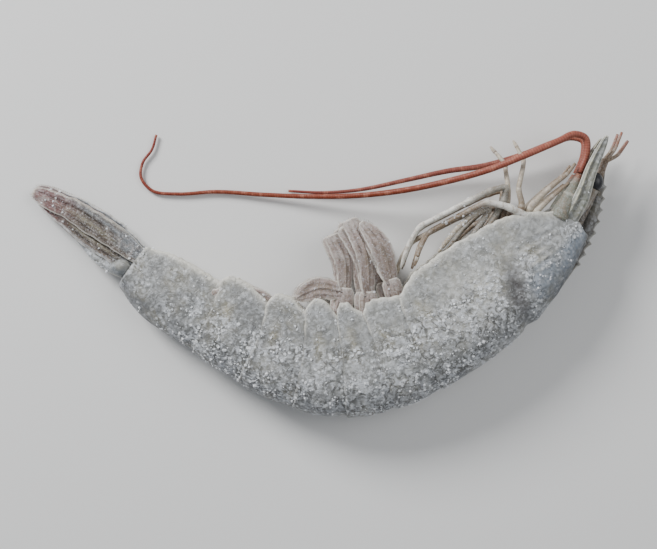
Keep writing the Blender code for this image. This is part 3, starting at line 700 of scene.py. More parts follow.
def add_fringe(name, path, widths, normal, material, slot, tint, start, reach, forward, outward,
               radius):
    """Short bristles along both edges of a blade, from a share of its length to its tip."""
    roots, tips = [], []
    frames = cross_frames(path, Vector(normal))
    count = len(path)
    for i in range(int(count * start), count):
        ahead = (path[min(i + 1, count - 1)] - path[i - 1]).normalized()
        across = frames[i][0]
        half = curve_value(widths, i / (count - 1)) / 2
        for side in (-1, 1):
            roots.append(path[i] + across * half * side * reach)
            tips.append(roots[-1] + ahead * forward + across * side * outward)
    add_hairs(name, roots, tips, radius, material, tint)


# ---------------------------------------------------------------- materials

class Shader:
    """Small helper that builds a node material round one Principled shader."""

    def __init__(self, name, **surface):
        self.material = bpy.data.materials.new(name)
        self.material.use_nodes = True
        self.tree = self.material.node_tree
        self.surface = self.tree.nodes["Principled BSDF"]
        for key, value in surface.items():
            self.surface.inputs[key.replace("_", " ")].default_value = value
        self.place = self.node("ShaderNodeVectorMath", {"operation": "SCALE"},
                               Vector=self.node("ShaderNodeTexCoord").outputs["Object"],
                               Scale=1 / MM).outputs[0]

    def node(self, kind, settings=None, **inputs):
        made = self.tree.nodes.new(kind)
        for key, value in (settings or {}).items():
            setattr(made, key, value)
        for key, value in inputs.items():
            self.feed(made.inputs[key.replace("_", " ")], value)
        return made

    def feed(self, socket, value):
        if isinstance(value, bpy.types.NodeSocket):
            self.tree.links.new(value, socket)
        else:
            socket.default_value = value

    def noise(self, per_mm, detail, roughness=0.55, distortion=0.0):
        return self.node("ShaderNodeTexNoise", Vector=self.place, Scale=per_mm, Detail=detail,
                         Roughness=roughness, Distortion=distortion).outputs[0]

    def cells(self, per_mm):
        return self.node("ShaderNodeTexVoronoi", Vector=self.place,
                         Scale=per_mm).outputs["Distance"]

    def step(self, value, low, high, to_low=0.0, to_high=1.0):
        return self.node("ShaderNodeMapRange", {"interpolation_type": "SMOOTHSTEP"}, Value=value,
                         From_Min=low, From_Max=high, To_Min=to_low, To_Max=to_high).outputs[0]

    def math(self, operation, first, second):
        made = self.node("ShaderNodeMath", {"operation": operation})
        self.feed(made.inputs[0], first)
        self.feed(made.inputs[1], second)
        return made.outputs[0]

    def product(self, first, *others):
        for other in others:
            first = self.math("MULTIPLY", first, other)
        return first

    def mix(self, amount, first, second):
        """Blend two colours."""
        made = self.node("ShaderNodeMix", {"data_type": "RGBA"})
        self.feed(made.inputs[0], amount)
        for socket, value in ((made.inputs[6], first), (made.inputs[7], second)):
            self.feed(socket, value if isinstance(value, bpy.types.NodeSocket) else (*value, 1.0))
        return made.outputs[2]

    def layers(self, colour, *layers):
        """Lay colours over one another. A layer is a colour and amounts to be multiplied."""
        for over, *amounts in layers:
            colour = self.mix(self.product(*amounts), colour, over)
        return colour

    def attribute(self, name, output="Fac"):
        return self.node("ShaderNodeAttribute", {"attribute_name": name}).outputs[output]

    def finish(self, colour, roughness, height, strength, distance_mm):
        """Join colour, roughness and a bump of a given strength and depth to the surface."""
        bump = self.node("ShaderNodeBump", Height=height, Strength=strength,
                         Distance=distance_mm * MM).outputs[0]
        for key, value in (("Base Color", colour), ("Roughness", roughness), ("Normal", bump)):
            self.feed(self.surface.inputs[key], value)
        return self.material


def shell_material():
    """Grey raw shell: an icing of fine frost over dark pigment, white specks and cream rims."""
    shader = Shader("shell", Subsurface_Weight=0.06, Subsurface_Radius=(1.0, 0.95, 0.9),
                    Subsurface_Scale=0.001, Specular_IOR_Level=0.4)
    frost = shader.attribute("frost")
    patches = shader.step(shader.noise(0.17, 4.0, 0.6), 0.47, 0.66)
    clouds = shader.step(shader.noise(0.28, 3.0, 0.6, 0.5), 0.46, 0.62)
    shades = shader.step(shader.noise(0.3, 3.0, 0.6, 0.8), 0.52, 0.36)
    mottles = shader.noise(0.75, 2.0, 0.5, 0.6)
    grain = shader.noise(0.6, 4.0, 0.62, 1.4)
    cover = shader.product(frost, shader.step(shader.noise(0.26, 3.0, 0.6), 0.42, 0.58, 0.3, 1.0))
    icing = shader.product(shader.step(grain, 0.51, 0.60),
                           shader.step(cover, 0.0, 0.8, 0.15, 1.0))
    fine = shader.product(shader.step(shader.noise(2.0, 3.0, 0.6, 0.5), 0.53, 0.63), cover)
    specks = shader.product(shader.step(shader.cells(0.9), 0.44, 0.26),
                            shader.step(shader.noise(0.7, 2.0, 0.6), 0.45, 0.52),
                            shader.step(cover, 0.1, 0.7, 0.2, 1.0))
    colour = shader.layers(
        shader.attribute("tint", "Color"),
        (SHELL_OLIVE, patches, 0.4),
        (SHELL_MIST, clouds, shader.step(frost, 0.2, 1.0, 0.15, 0.5)),
        (SHELL_SHADE, shades, 0.5),
        (FROST_WHITE, shader.step(mottles, 0.50, 0.64, 0.0, 0.35),
         shader.step(frost, 0.2, 0.7, 0.3, 1.0)),
        (SHELL_SHADE, shader.step(mottles, 0.48, 0.37, 0.0, 0.4)),
        (STIPPLE_AND_SHADOW_DARK, shader.step(grain, 0.50, 0.41), shader.step(cover, 0.1, 0.7, 0.15, 1.0),
         0.65),
        (FROST_WHITE, icing, 0.68),
        (FROST_WHITE, fine, 0.5),
        (SPECK_WHITE, specks, 0.9),
        (RIM_CREAM, shader.attribute("rim"), shader.step(grain, 0.3, 0.5, 0.4, 1.0)),
    )
    height = shader.math("ADD", grain, shader.product(fine, 0.3))
    height = shader.math("ADD", height, shader.product(specks, 0.5))
    rough = shader.step(shader.math("ADD", fine, icing), 0.0, 1.0, 0.36, 0.7)
    return shader.finish(colour, rough, height, 0.8, 0.35)


def limb_material(name, streak, frost=0.25, blotch=0.2):
    """Thin shell of legs and blades: tinted, streaked and lightly frosted."""
    shader = Shader(name, Subsurface_Weight=0.12, Subsurface_Radius=(1.0, 0.8, 0.6),
                    Subsurface_Scale=0.0008, Specular_IOR_Level=0.5)
    streaks = shader.step(shader.noise(1.0, 5.0, 0.7, 0.6), 0.44, 0.62)
    grain = shader.noise(2.8, 4.0, 0.66)
    colour = shader.layers(
        shader.attribute("tint", "Color"),
        (streak, streaks, 0.6),
        (SWIM_WHITE, shader.step(shader.noise(0.5, 4.0, 0.65, 0.8), 0.50, 0.64), blotch),
        (FROST_WHITE, shader.step(grain, 0.52, 0.64),
         shader.math("ADD", shader.product(shader.attribute("frost"), 0.5), frost)),
        (RIM_CREAM, shader.attribute("rim"), 0.7),
    )
    rough = shader.step(grain, 0.35, 0.65, 0.34, 0.6)
    return shader.finish(colour, rough, shader.math("ADD", grain, streaks), 0.45, 0.12)


def antenna_material():
    """Orange-red whip with fine rings round it and paler patches, partly pale streaks and partly
    painted highlight.
    """
    shader = Shader("antenna", Subsurface_Weight=0.1, Subsurface_Radius=(1.0, 0.3, 0.2),
                    Subsurface_Scale=0.0006, Specular_IOR_Level=0.4)
    rings = shader.attribute("rim")
    grain = shader.noise(3.0, 2.0)
    colour = shader.layers(
        shader.attribute("tint", "Color"),
        # Paler patches: partly pale streaks, partly painted highlight.
        (ANTENNA_PALE_AND_HIGHLIGHT, shader.step(shader.noise(0.6, 4.0, 0.6), 0.48, 0.68), 0.6),
        (ANTENNA_RING, rings, 0.45),
    )
    rough = shader.step(grain, 0.35, 0.65, 0.4, 0.6)
    return shader.finish(colour, rough, shader.math("SUBTRACT", grain, rings), 0.4, 0.08)


def eye_material():
    """Nearly black eye with a net of tiny facets and a thin bloom of frost."""
    shader = Shader("eye", Specular_IOR_Level=0.4, Coat_Weight=0.12, Coat_Roughness=0.3)
    facets = shader.cells(7.0)
    bloom = shader.step(shader.noise(1.4, 4.0, 0.7), 0.52, 0.75)
    colour = shader.layers(EYE_BLACK, (EYE_FACET, shader.step(facets, 0.1, 0.5)),
                           (EYE_BLOOM, bloom, 0.2))
    return shader.finish(colour, shader.step(bloom, 0.0, 1.0, 0.32, 0.65), facets, 0.35, 0.05)


def frost_material():
    """Loose ice crystals: whitish and a little translucent, with a fine grain."""
    shader = Shader("frost", Subsurface_Weight=0.7, Subsurface_Radius=(1.0, 1.0, 1.0),
                    Subsurface_Scale=0.0006, Specular_IOR_Level=0.5)
    grain = shader.noise(3.5, 2.0)
    colour = shader.layers(GRAIN_GREY, (GRAIN_WHITE, shader.step(grain, 0.35, 0.65)))
    return shader.finish(colour, shader.step(grain, 0.3, 0.7, 0.3, 0.6), grain, 0.3, 0.05)


# ---------------------------------------------------------------- body shell

ARCH_STEPS = 84
FLANK_STEPS = 22
OUTER_COUNT = 2 * FLANK_STEPS + ARCH_STEPS + 1
RING_STEPS = 52
CARAPACE_STEPS = 170
# Thickness of a side plate's edge, and how far the underside lies inside the plates.
PLATE_WALL = 0.9
FLOOR_RISE = 1.2
# How far the rims waver along the body, and how far the plates' lower edges rise and fall.
EDGE_WAVE = 0.16
EDGE_RAGGED = 0.4
# Rear edge of a ring: depth and length of its rounding, then height, place and width of the low
# bead in front of it. Lengths and places are shares of the ring's length.
RING_ROUNDING = (0.22, 0.006)
RING_BEAD = (0.12, 0.03, 0.02)
# The same for the rear edge of the carapace.
CARAPACE_ROUNDING = (0.3, 0.002)
CARAPACE_BEAD = (0.15, 0.012, 0.01)
KEELED_RINGS = 3
# Natural unevenness of the frozen shell: size and depth of the bumps.
UNEVENNESS = ((7.0, 0.18), (2.6, 0.08), (1.1, 0.06))


def section_rows(half_width, back, belly, lobe):
    """Outline of a section as arrays (side, back place), round the shell and back inside."""
    reach = belly + lobe + 0.15
    drop = np.linspace(0, 1, FLANK_STEPS + 1)[1:]
    flank_side = half_width * (1 - SIDE_TUCK * drop ** 2)
    flank_back = -reach * drop
    angle = np.linspace(-math.pi / 2, math.pi / 2, ARCH_STEPS + 1)
    arch_side = half_width * np.sign(angle) * np.abs(np.sin(angle)) ** (2 / BACK_ROUNDNESS)
    arch_back = back * np.clip(np.cos(angle), 0, 1) ** (2 / BACK_ROUNDNESS)
    foot = half_width * (1 - SIDE_TUCK)
    floor = belly - FLOOR_RISE
    edge = foot - PLATE_WALL
    inside_side = np.array([foot - 0.25, edge + 0.15, edge, edge * 0.97, edge * 0.92, edge * 0.6,
                            edge * 0.3, 0.0])
    inside_back = np.array([-reach - 0.08, -reach - 0.02, -reach + 0.3, -(reach + floor) / 2,
                            -floor, -floor - 0.25, -floor - 0.4, -floor - 0.5])
    side = np.concatenate([-flank_side[::-1], arch_side, flank_side, inside_side,
                           -inside_side[-2::-1]])
    height = np.concatenate([flank_back[::-1], arch_back, flank_back, inside_back,
                             inside_back[-2::-1]])
    return side, height


def height_share(back_place, back, belly):
    """Height of a point on the section, from 1 at the dorsal ridge to -1 at the belly."""
    return np.where(back_place >= 0, back_place / back, back_place / belly)


def lobe_share(share):
    """Outline of a side plate: a steep rear corner, then a long fall towards the head."""
    rise = min(1.0, share / LOBE_RISE) ** LOBE_RISE_POWER
    fall = 1 - max(0.0, (share - LOBE_FALL) / (1 - LOBE_FALL)) ** LOBE_FALL_POWER
    return rise * fall


def add_shell(name, stations, material, sweep_at, relief):
    """Loft a shell from stations (along, half width, back, belly, lobe, rim at this station)."""
    rows = []
    for along, half_width, back, belly, lobe, rim in stations:
        lobe += EDGE_RAGGED * noise.noise(Vector((along / 1.6, 3.3, 0.0)))
        side, back_place = section_rows(half_width, back, belly, lobe)
        lag = sweep_at(along) * np.clip(-back_place / SWEEP_REACH, 0, 1) ** 1.5
        lag += EDGE_WAVE * np.sin(back_place * 1.7 + along) * rim
        edge = np.exp(-np.abs(back_place + belly + lobe) / 0.6)
        rows.append((along - lag, side, back_place, height_share(back_place, back, belly),
                     np.maximum(rim, edge)))
    along, side, back_place, height, rim = (np.array(column) for column in zip(*rows))
    outer = np.zeros(side.shape[1])
    outer[:OUTER_COUNT] = 1.0
    points = body_points(along, back_place, side)
    sink = relief(along, height, side)
    for seed, (size, depth) in enumerate(UNEVENNESS, start=1):
        sink += wrinkle(points, size, depth, seed)
    length = np.sqrt(side ** 2 + back_place ** 2) + 1e-6
    scale = 1 + sink * outer[None, :] / length
    points = body_points(along, back_place * scale, side * scale)
    tint = shell_tint(along, height)
    tint = mix_tint(tint, FLESH, (1 - outer)[None, :] * np.ones(height.shape))
    rim = rim * (0.12 + 0.88 * ease(height, -0.45, -0.8))
    rim = np.maximum(rim, 0.6 * brow_strokes(along, height))
    add_piece(name, points, tube_faces(*points.shape[:2]), material, tint=tint,
              rim=rim, frost=frost_cover(along, height))


def rear_edge(share, rounding, bead):
    """How far the shell stands out beside its rear edge."""
    depth, length = rounding
    rise, place, width = bead
    return rise * math.exp(-((share - place) / width) ** 2) - depth * math.exp(-share / length)


def add_ring(index, material):
    """One ring of the abdomen. Its rear edge stands over the front of the next ring."""
    rear, front = RING_JOINTS[index], RING_JOINTS[index + 1]
    start = rear - (RING_OVERLAP if index else 0.0)
    end = front + 0.5
    stations = []
    for share in (0.0, 0.006, 0.014, 0.026, 0.045, 0.07, 0.1, *np.linspace(0.125, 1.0, RING_STEPS)):
        along = start + (end - start) * share
        swell = REAR_STEP * (1 - share) - FRONT_TUCK * share
        swell += RING_BULGE * math.sin(math.pi * share)
        swell += rear_edge(share, RING_ROUNDING, RING_BEAD)
        stations.append((
            along,
            curve_value(HALF_WIDTH, along) + swell * FLANK_SWELL,
            curve_value(BACK_HEIGHT, along) + swell,
            curve_value(BELLY_DEPTH, along),
            LOBE_LENGTHS[index] * lobe_share(share),
            0.85 * math.exp(-share / 0.03) if index else 0.0,
        ))

    def relief(along, height, side):
        share = (along - start) / (end - start)
        crease = hump(share, 0.74, 0.035) * ease(height, -0.75, 0.1) * -0.16
        hinge = hump(share, 0.05, 0.06) * hump(height, -0.3, 0.08) * 0.25
        keel = 0.0
        if index < KEELED_RINGS:
            keel = 0.3 * hump(side, 0.0, 0.5) * ease(height, 0.7, 1.0)
        return crease + hinge + keel

    add_shell(f"ring_{6 - index}", stations, material, lambda along: PLATE_SWEEPS[index], relief)


def add_carapace(material):
    """The head's shell, with its cervical groove, the ridges in front of it and its rear edge."""
    stations = []
    length = BROW - CARAPACE_REAR
    for share in (0.0, 0.002, 0.005, 0.01, 0.016, *np.linspace(0.022, 1.0, CARAPACE_STEPS)):
        along = CARAPACE_REAR + length * share
        flap = CARAPACE_FLAP * min(1.0, share / FLAP_REAR_SHARE, (1 - share) / FLAP_FRONT_SHARE)
        edge = rear_edge(share, CARAPACE_ROUNDING, CARAPACE_BEAD)
        stations.append((
            along,
            curve_value(CARAPACE_WIDTH, along) + edge * FLANK_SWELL,
            curve_value(CARAPACE_BACK, along) + edge,
            curve_value(CARAPACE_BELLY, along),
            flap,
            max(0.8 * math.exp(-share / 0.012), 0.8 * math.exp(-(1 - share) / 0.01)),
        ))

    def sweep_at(along):
        lean = (CARAPACE_LEAN_END - along) / (CARAPACE_LEAN_END - CARAPACE_REAR)
        return -CARAPACE_LEAN * max(0.0, lean)

    def relief(along, height, _side):
        groove = -0.6 * hump(along, groove_line(height), 1.3) * ease(height, -0.5, 0.05)
        ridge = 0.3 * hump(along, groove_line(height, RIDGE_PLACE), 1.4)
        ridge *= ease(height, -0.4, 0.1)
        region = ease(along, 101, 104) * ease(along, 114, 110)
        folds = 0.22 * region * np.cos(height * 26) * hump(height, -0.35, 0.3)
        branch = -0.3 * hump(along, 96.0 - 8.0 * height, 1.3) * hump(height, -0.55, 0.2)
        hollow = -0.3 * hump(along, 92, 5) * hump(height, 0.75, 0.15)
        hollow -= 0.25 * groove_hollow(along, height)
        return groove + ridge + folds + branch + hollow + 0.25 * brow_strokes(along, height)

    add_shell("carapace", stations, material, sweep_at, relief)


# One tooth of the rostrum: (share of its length, share of its height).
TOOTH_PROFILE = ((0.0, 0.0), (0.2, 0.12), (0.4, 0.38), (0.58, 0.75), (0.7, 1.0), (0.76, 0.86),
                 (0.84, 0.3), (0.92, 0.06))
# Left half of the rostrum's section: (place from edge to edge, share of the thickness).
ROSTRUM_SECTION = ((1.0, 0.12), (0.75, 0.5), (0.45, 0.72), (0.15, 1.0), (-0.15, 0.95),
                   (-0.6, 0.6), (-0.95, 0.2))


def crest_course():
    """Middle line of the toothed crest, from the carapace out to the tip of the rostrum."""
    points = []
    along = CREST_START
    while along <= CREST_END:
        points.append(body_point(along, curve_value(CARAPACE_BACK, along) - CREST_SINK, 0.0))
        along += CREST_SPACING
    height = axis_point(BROW).z
    return points + [(x, y, height) for x, y in ROSTRUM_COURSE]


def add_rostrum(material):
    """Crest and rostrum: a thin blade with sharp forward-leaning teeth along its upper edge."""
    course = path_knots(crest_course())
    length = course[0][-1][0]
    stations = [(share, 0.0) for share in (0.0, 0.07, 0.14)]
    for tooth in range(CREST_TEETH):
        for place, rise in TOOTH_PROFILE:
            share = TEETH_FROM + (TEETH_TO - TEETH_FROM) * (tooth + place) / CREST_TEETH
            stations.append((share, TOOTH_HEIGHT * rise))
    stations += [(share, 0.0) for share in (0.88, 0.91, 0.94, 0.97, 1.0)]
    rows = []
    for share, rise in stations:
        here = path_point(course, length * share)
        there = path_point(course, length * share + 0.5)
        back = (there - here).normalized().cross(UP).normalized()
        depth = curve_value(ROSTRUM_DEPTH, share) / 2
        width = curve_value(ROSTRUM_THICKNESS, share) / 2
        row = []
        for height, thick in ROSTRUM_SECTION:
            lift = rise * max(0.0, height) ** 3
            row.append(here + back * (depth * height + lift) + Vector((0, 0, width * thick)))
        row += [point - Vector((0, 0, 2 * (point.z - here.z))) for point in reversed(row)]
        rows.append([tuple(point) for point in row])
    rows = np.array(rows)
    top = np.zeros(rows.shape[:2])
    top[:, 0] = top[:, -1] = 1.0
    # The rostrum's dark grey-brown is painted shade; its top edges are paler.
    add_piece("rostrum", rows, tube_faces(*rows.shape[:2]), material,
              tint=layered(PAINTED_SHADE_BROWN, top.shape, (SCALE_GREY, 0.5 * top)), rim=0.35 * top)


# ---------------------------------------------------------------- tail fan

FAN_BLADES = (
    {
        "name": "outer", "course": ((-0.12, -1.8), (0.35, -2.4), (0.7, -1.7), (1.0, -0.4)),
        "widths": ((0, 3.2), (0.15, 4.8), (0.45, 5.8), (0.85, 4.7), (0.97, 3.0), (1.0, 1.6)),
        "rise": 1.9, "ribs": ((0.86, 0.22, 0.08), (0.5, 0.3, 0.13), (0.22, -0.3, 0.06),
                              (-0.25, 0.34, 0.12), (-0.62, -0.22, 0.06), (-0.8, 0.2, 0.08)),
    },
    {
        "name": "inner", "course": ((-0.12, 0.9), (0.35, 0.9), (0.7, 0.5), (0.93, 0.4)),
        "widths": ((0, 3.0), (0.15, 4.2), (0.5, 4.8), (0.85, 3.4), (0.97, 1.8), (1.0, 1.0)),
        "rise": 0.9, "ribs": ((-0.15, 0.3, 0.12), (-0.5, -0.3, 0.07), (-0.8, 0.2, 0.08)),
    },
)
FAN_THICKNESS = 1.0
FAN_STEPS = 70
FAR_FAN_SHIFT = 0.7
FAN_TURN = 0.25
# Dark lines along the upper blade: (place across, width).
FAN_LINES = ((0.22, 0.07), (-0.02, 0.04), (-0.62, 0.07))
FAN_FRINGE = {"start": 0.45, "reach": 0.97, "forward": 0.5, "outward": 0.2, "radius": 0.06}
KNUCKLE_PLACE = (-2.2, -1.6, 1.7)
KNUCKLE_RADII = (2.3, 1.9, 1.5)
TELSON_COURSE = ((-0.10, 1.6), (0.2, 3.3), (0.5, 2.1), (0.82, 1.2))
TELSON_WIDTHS = ((0, 5.0), (0.25, 4.6), (0.55, 3.0), (0.85, 1.6), (1.0, 0.5))
TELSON_THICKNESS = 2.6
TELSON_RIBS = ((0.0, -0.3, 0.14), (0.5, 0.14, 0.12), (-0.5, 0.14, 0.12))


def fan_path(course, lift):
    """Course of a blade: shares of the fan's length with offsets towards the back."""
    root, tip = Vector(FAN_ROOT), Vector(FAN_TIP)
    flat = Vector((tip.x - root.x, tip.y - root.y, 0)).normalized()
    across = Vector((-flat.y, flat.x, 0))
    points = []
    for share, offset in course:
        height = lift * (1 - FAN_CLOSING * share)
        points.append(root.lerp(tip, share) + across * offset + Vector((0, 0, height)))
    return smooth_path(points, FAN_STEPS)


def fan_tint(share, place):
    """Upper blade: a grey frosted base, tan and brown ribs, a mauve tip and a red upper edge."""
    lean = place + 0.1 * np.sin(share * 7)
    lines = [
        (FAN_DARK, 0.95 * (hump(lean, *line) * ease(share, 0.16, 0.3) * ease(share, 0.95, 0.7)))
        for line in FAN_LINES
    ]
    return layered(
        FAN_TAN, share.shape,
        (FAN_OLIVE, 0.8 * hump(lean, -0.25, 0.16)),
        (FAN_BLUE, 0.9 * hump(lean, 0.5, 0.24)),
        *lines,
        (FAN_TIP_MAUVE, 0.85 * ease(share, 0.55, 0.85)),
        (FAN_BLUE, 0.9 * ease(share, 0.34, 0.2) * ease(place, -0.75, -0.4)),
        (RIM_CREAM, 0.6 * hump(place, 0.84, 0.07) * ease(share, 0.2, 0.4)),
        (FAN_RED, 0.85 * ease(place, 0.88, 0.96) * ease(share, 0.25, 0.45)),
    )


def inner_fan_tint(share, place):
    """Lower blade: pale ribs with dark gaps between them."""
    icy = 0.6 + 0.4 * np.sin(share * 60) * np.sin(share * 23)
    return layered(
        FAN_TAN, share.shape,
        (FAN_OLIVE, 0.9 * hump(place, -0.15, 0.14)),
        (FAN_DARK, 0.95 * hump(place, -0.48, 0.1) * ease(share, 0.9, 0.6)),
        (FAN_DARK, 0.8 * hump(place, 0.15, 0.12)),
        (FAN_BLUE, 0.8 * ease(share, 0.3, 0.1)),
        (FAN_TIP_MAUVE, 0.8 * ease(share, 0.6, 0.9)),
        (FROST_WHITE, 0.9 * icy * ease(place, -0.74, -0.88)),
    )


def far_fan_tint(share, place):
    """Blades of the far side: bluish with a whitish frosted edge."""
    return layered(
        FAN_BLUE, share.shape,
        (FAN_DARK, 0.6 * hump(place, -0.3, 0.1)),
        (FROST_WHITE, 0.6 * ease(abs(place), 0.75, 0.95)),
        (FAN_TIP_MAUVE, 0.8 * ease(share, 0.65, 0.95)),
    )


def telson_tint(share, place):
    """Telson: bluish with a frosted edge, a mauve tip and a dark groove."""
    return layered(
        FAN_BLUE, share.shape,
        (FAN_TIP_MAUVE, 0.6 * ease(share, 0.75, 1.0)),
        (FROST_WHITE, 0.5 * ease(abs(place), 0.7, 0.95)),
        (FAN_DARK, 0.7 * hump(place, 0.0, 0.12)),
    )


def add_tail_fan(material, shell):
    """Folded fan: the grooved, pointed telson between two pairs of long ribbed blades."""
    tints = {("outer", "left"): fan_tint, ("inner", "left"): inner_fan_tint}
    x, y, z = KNUCKLE_PLACE
    for flank, sign in (("left", 1), ("right", -1)):
        shift = FAR_FAN_SHIFT if sign < 0 else 0.0
        normal = (0.0, FAN_TURN * sign, 1.0)
        for blade in FAN_BLADES:
            name = f"{blade['name']}_{flank}"
            course = [(share, offset - shift) for share, offset in blade["course"]]
            path = fan_path(course, blade["rise"] * sign)
            add_blade(f"fan_{name}", path, blade["widths"], FAN_THICKNESS, normal, material,
                      tints.get((blade["name"], flank), far_fan_tint), blade["ribs"],
                      steps=48, wave=0.16, frost=0.2, root_frost=1.0, ragged=0.16)
            add_fringe(f"fan_fringe_{name}", path, blade["widths"], normal, material, "tail_fan",
                       FAN_TIP_MAUVE, **FAN_FRINGE)
        add_ball(f"fan_knuckle_{flank}", Vector(FAN_ROOT) + Vector((x, y, z * sign)),
                 KNUCKLE_RADII, shell, FAN_BLUE)
    add_blade("telson", fan_path(TELSON_COURSE, 0.0), TELSON_WIDTHS, TELSON_THICKNESS, UP, shell,
              telson_tint, TELSON_RIBS, frost=0.8)


# ---------------------------------------------------------------- head

SNOUT_RADII = (5.4, 5.0, 4.8)
SCALE_THICKNESS = 1.1
SCALE_STEPS = 60
SCALE_RIBS = ((-0.55, 0.35, 0.14), (0.05, -0.2, 0.3), (0.6, 0.1, 0.1))
EYE_STALK_RADII = ((0, 1.3), (0.7, 1.1), (1.0, 1.5))
FEELER_BASE_RADII = ((0, 1.6), (0.5, 1.2), (1.0, 0.8))
FEELER_RADII = ((0, 0.5), (1.0, 0.3))
ANTENNA_BASE_RADII = ((0, 2.4), (0.5, 1.9), (1.0, 0.9))
MOUTH_LIMB_RADII = ((0, 1.1), (0.4, 0.72), (1.0, 0.35))


def mirrored(points, shift=(0.0, 0.0)):
    """The same course on the far flank, mirrored in the shrimp's middle plane."""
    middle = axis_point(BROW).z
    return [(x + shift[0], y + shift[1], 2 * middle - z) for x, y, z in points]


def plain_tint(base, tip, start=0.3, end=0.9):
    """Tint that turns from one colour to another along a limb."""
    return lambda share: layered(base, share.shape, (tip, ease(share, start, end)))


def scale_tint(share, place):
    """Antennal scale: a grey-green blade with one pale rib near its outer edge."""
    return layered(
        SCALE_GREY, share.shape,
        (SCALE_DARK, 0.7 * hump(place, -0.1, 0.22) * ease(share, 0.05, 0.2)),
        (SCALE_DARK, 0.5 * ease(share, 0.6, 0.9)),
        (SCALE_RIB, 0.95 * hump(place, -0.55, 0.16) * ease(share, 0.1, 0.2)),
        (SCALE_RIB, 0.4 * hump(place, 0.9, 0.08)),
    )


def add_head(shell, limb, eye):
    """Everything in front of the brow, once for each flank."""
    add_ball("snout", body_point(*SNOUT_PLACE), SNOUT_RADII, shell, SNOUT_GREY)
    for flank, place in (("left", list), ("right", mirrored)):
        add_limb(f"eye_stalk_{flank}", place(EYE_STALK), EYE_STALK_RADII, limb,
                 plain_tint(SHELL_GREY, LIMB_GREY), sides=20)
        add_ball(f"eye_{flank}", place([EYE_PLACE])[0], EYE_RADII, eye, EYE_BLACK)
        add_blade(f"antennal_scale_{flank}", smooth_path(place(SCALE_COURSE), SCALE_STEPS),
                  SCALE_WIDTHS, SCALE_THICKNESS, UP, shell, scale_tint, SCALE_RIBS,
                  steps=36, frost=0.08)
        # The feeler base's dark grey-brown is painted shade.
        add_limb(f"feeler_base_{flank}", place(FEELER_BASE), FEELER_BASE_RADII, limb,
                 plain_tint(PAINTED_SHADE_BROWN, LIMB_BROWN), sides=16)
        for number, whip in enumerate(FEELER_WHIPS):
            add_limb(f"feeler_{flank}_{number}", place(whip), FEELER_RADII, limb,
                     plain_tint(LIMB_TAN, FEELER_END), sides=10)
        add_limb(f"antenna_base_{flank}", place(ANTENNA_BASE), ANTENNA_BASE_RADII, limb,
                 plain_tint(SCALE_GREY, ANTENNA_ROOT, 0.75, 1.0), sides=20)
        for number, course in enumerate(MOUTH_LIMBS):
            add_limb(f"mouth_limb_{flank}_{number}", place(course), MOUTH_LIMB_RADII, limb,
                     plain_tint(LIMB_CREAM, LIMB_TAN), sides=14)


# ---------------------------------------------------------------- limbs

LEG_RADII = ((0, 1.2), (0.18, 0.84), (0.5, 0.68), (0.93, 0.54), (1.0, 0.28))
CLAW_LEG_RADII = ((0, 1.2), (0.12, 0.86), (0.36, 0.78), (0.5, 0.62), (0.93, 0.5), (1.0, 0.4))
CLAW_RADII = ((0, 0.36), (0.6, 0.25), (1.0, 0.1))
CLAWED_LEGS = 3
CLAW_LENGTH = 2.8
CLAW_SPREAD = 0.17
CLAW_KNUCKLE = 1.0
CLAW_CLOSING = 0.8
# How far a leg with a claw stops short of the claw's tip.
CLAW_LEG_CUT = 2.2
# Colours of each pair of legs at the body and at the end, and where one turns into the other.
NEAR_LEG_TINTS = (
    (LIMB_WHITE, LIMB_TAN, 0.32, 0.5), (LIMB_TAN, LIMB_CREAM, 0.3, 0.6),
    (LIMB_BROWN, LIMB_CREAM, 0.3, 0.6), (LIMB_GREY, LIMB_WHITE, 0.42, 0.58),
    (LIMB_GREY, LIMB_CREAM, 0.3, 0.9),
)
# The far flank's legs lie lower, under the body: their browner colours are painted shade.
FAR_LEG_SHADED_TINTS = (
    (LIMB_BROWN, LIMB_TAN, 0.3, 0.8), (LIMB_TAN, LIMB_GREY, 0.3, 0.8),
    (LIMB_BROWN, LIMB_GREY, 0.3, 0.8), (LIMB_TAN, LIMB_CREAM, 0.4, 0.9),
    (LIMB_BROWN, LIMB_TAN, 0.3, 0.9),
)
# How thickly the frost lies on each leg.
NEAR_LEG_FROST = (0.35, 0.0, 0.0, 0.15, 1.0)
FAR_LEG_FROST = (0.0,) * 5

STEM_WIDTHS = ((0, 4.0), (0.7, 4.5), (0.9, 4.2), (1.0, 3.0))
STEM_THICKNESS = 2.4
STEM_STEPS = 30
STEM_RIBS = ((-0.6, 0.2, 0.15), (0.3, 0.15, 0.12))
SWIM_THICKNESS = 0.9
SWIM_STEPS = 48
# How far a blade starts inside its stem, and how far each kind of blade bows outward.
SWIM_OVERLAP = 1.2
SWIM_BOWS = {"outer": 0.6, "inner": 0.1}
SWIM_RIBS = ((0.05, 0.26, 0.1), (-0.5, 0.12, 0.1), (0.55, 0.1, 0.08))
SWIM_FRINGE = {"start": 0.3, "reach": 0.96, "forward": 0.6, "outward": 0.22, "radius": 0.045}
ANTENNA_SIDES = 12
ANTENNA_STEPS = 420
FAR_ANTENNA_STEPS = 300


def add_claw(name, course, material, tint_at):
    """Two slim fingers at the end of a leg."""
    base, tip = Vector(course[-2]), Vector(course[-1])
    ahead = (tip - base).normalized()
    start = tip - ahead * CLAW_LENGTH
    across = ahead.cross(UP).normalized()
    for finger, spread in (("fixed", CLAW_SPREAD), ("moving", -CLAW_SPREAD)):
        knuckle = start + ahead * CLAW_KNUCKLE + across * spread
        end = tip + across * spread * CLAW_CLOSING
        add_limb(f"{name}_{finger}", (start, knuckle, end), CLAW_RADII, material, tint_at,
                 sides=8, swell=0.0)


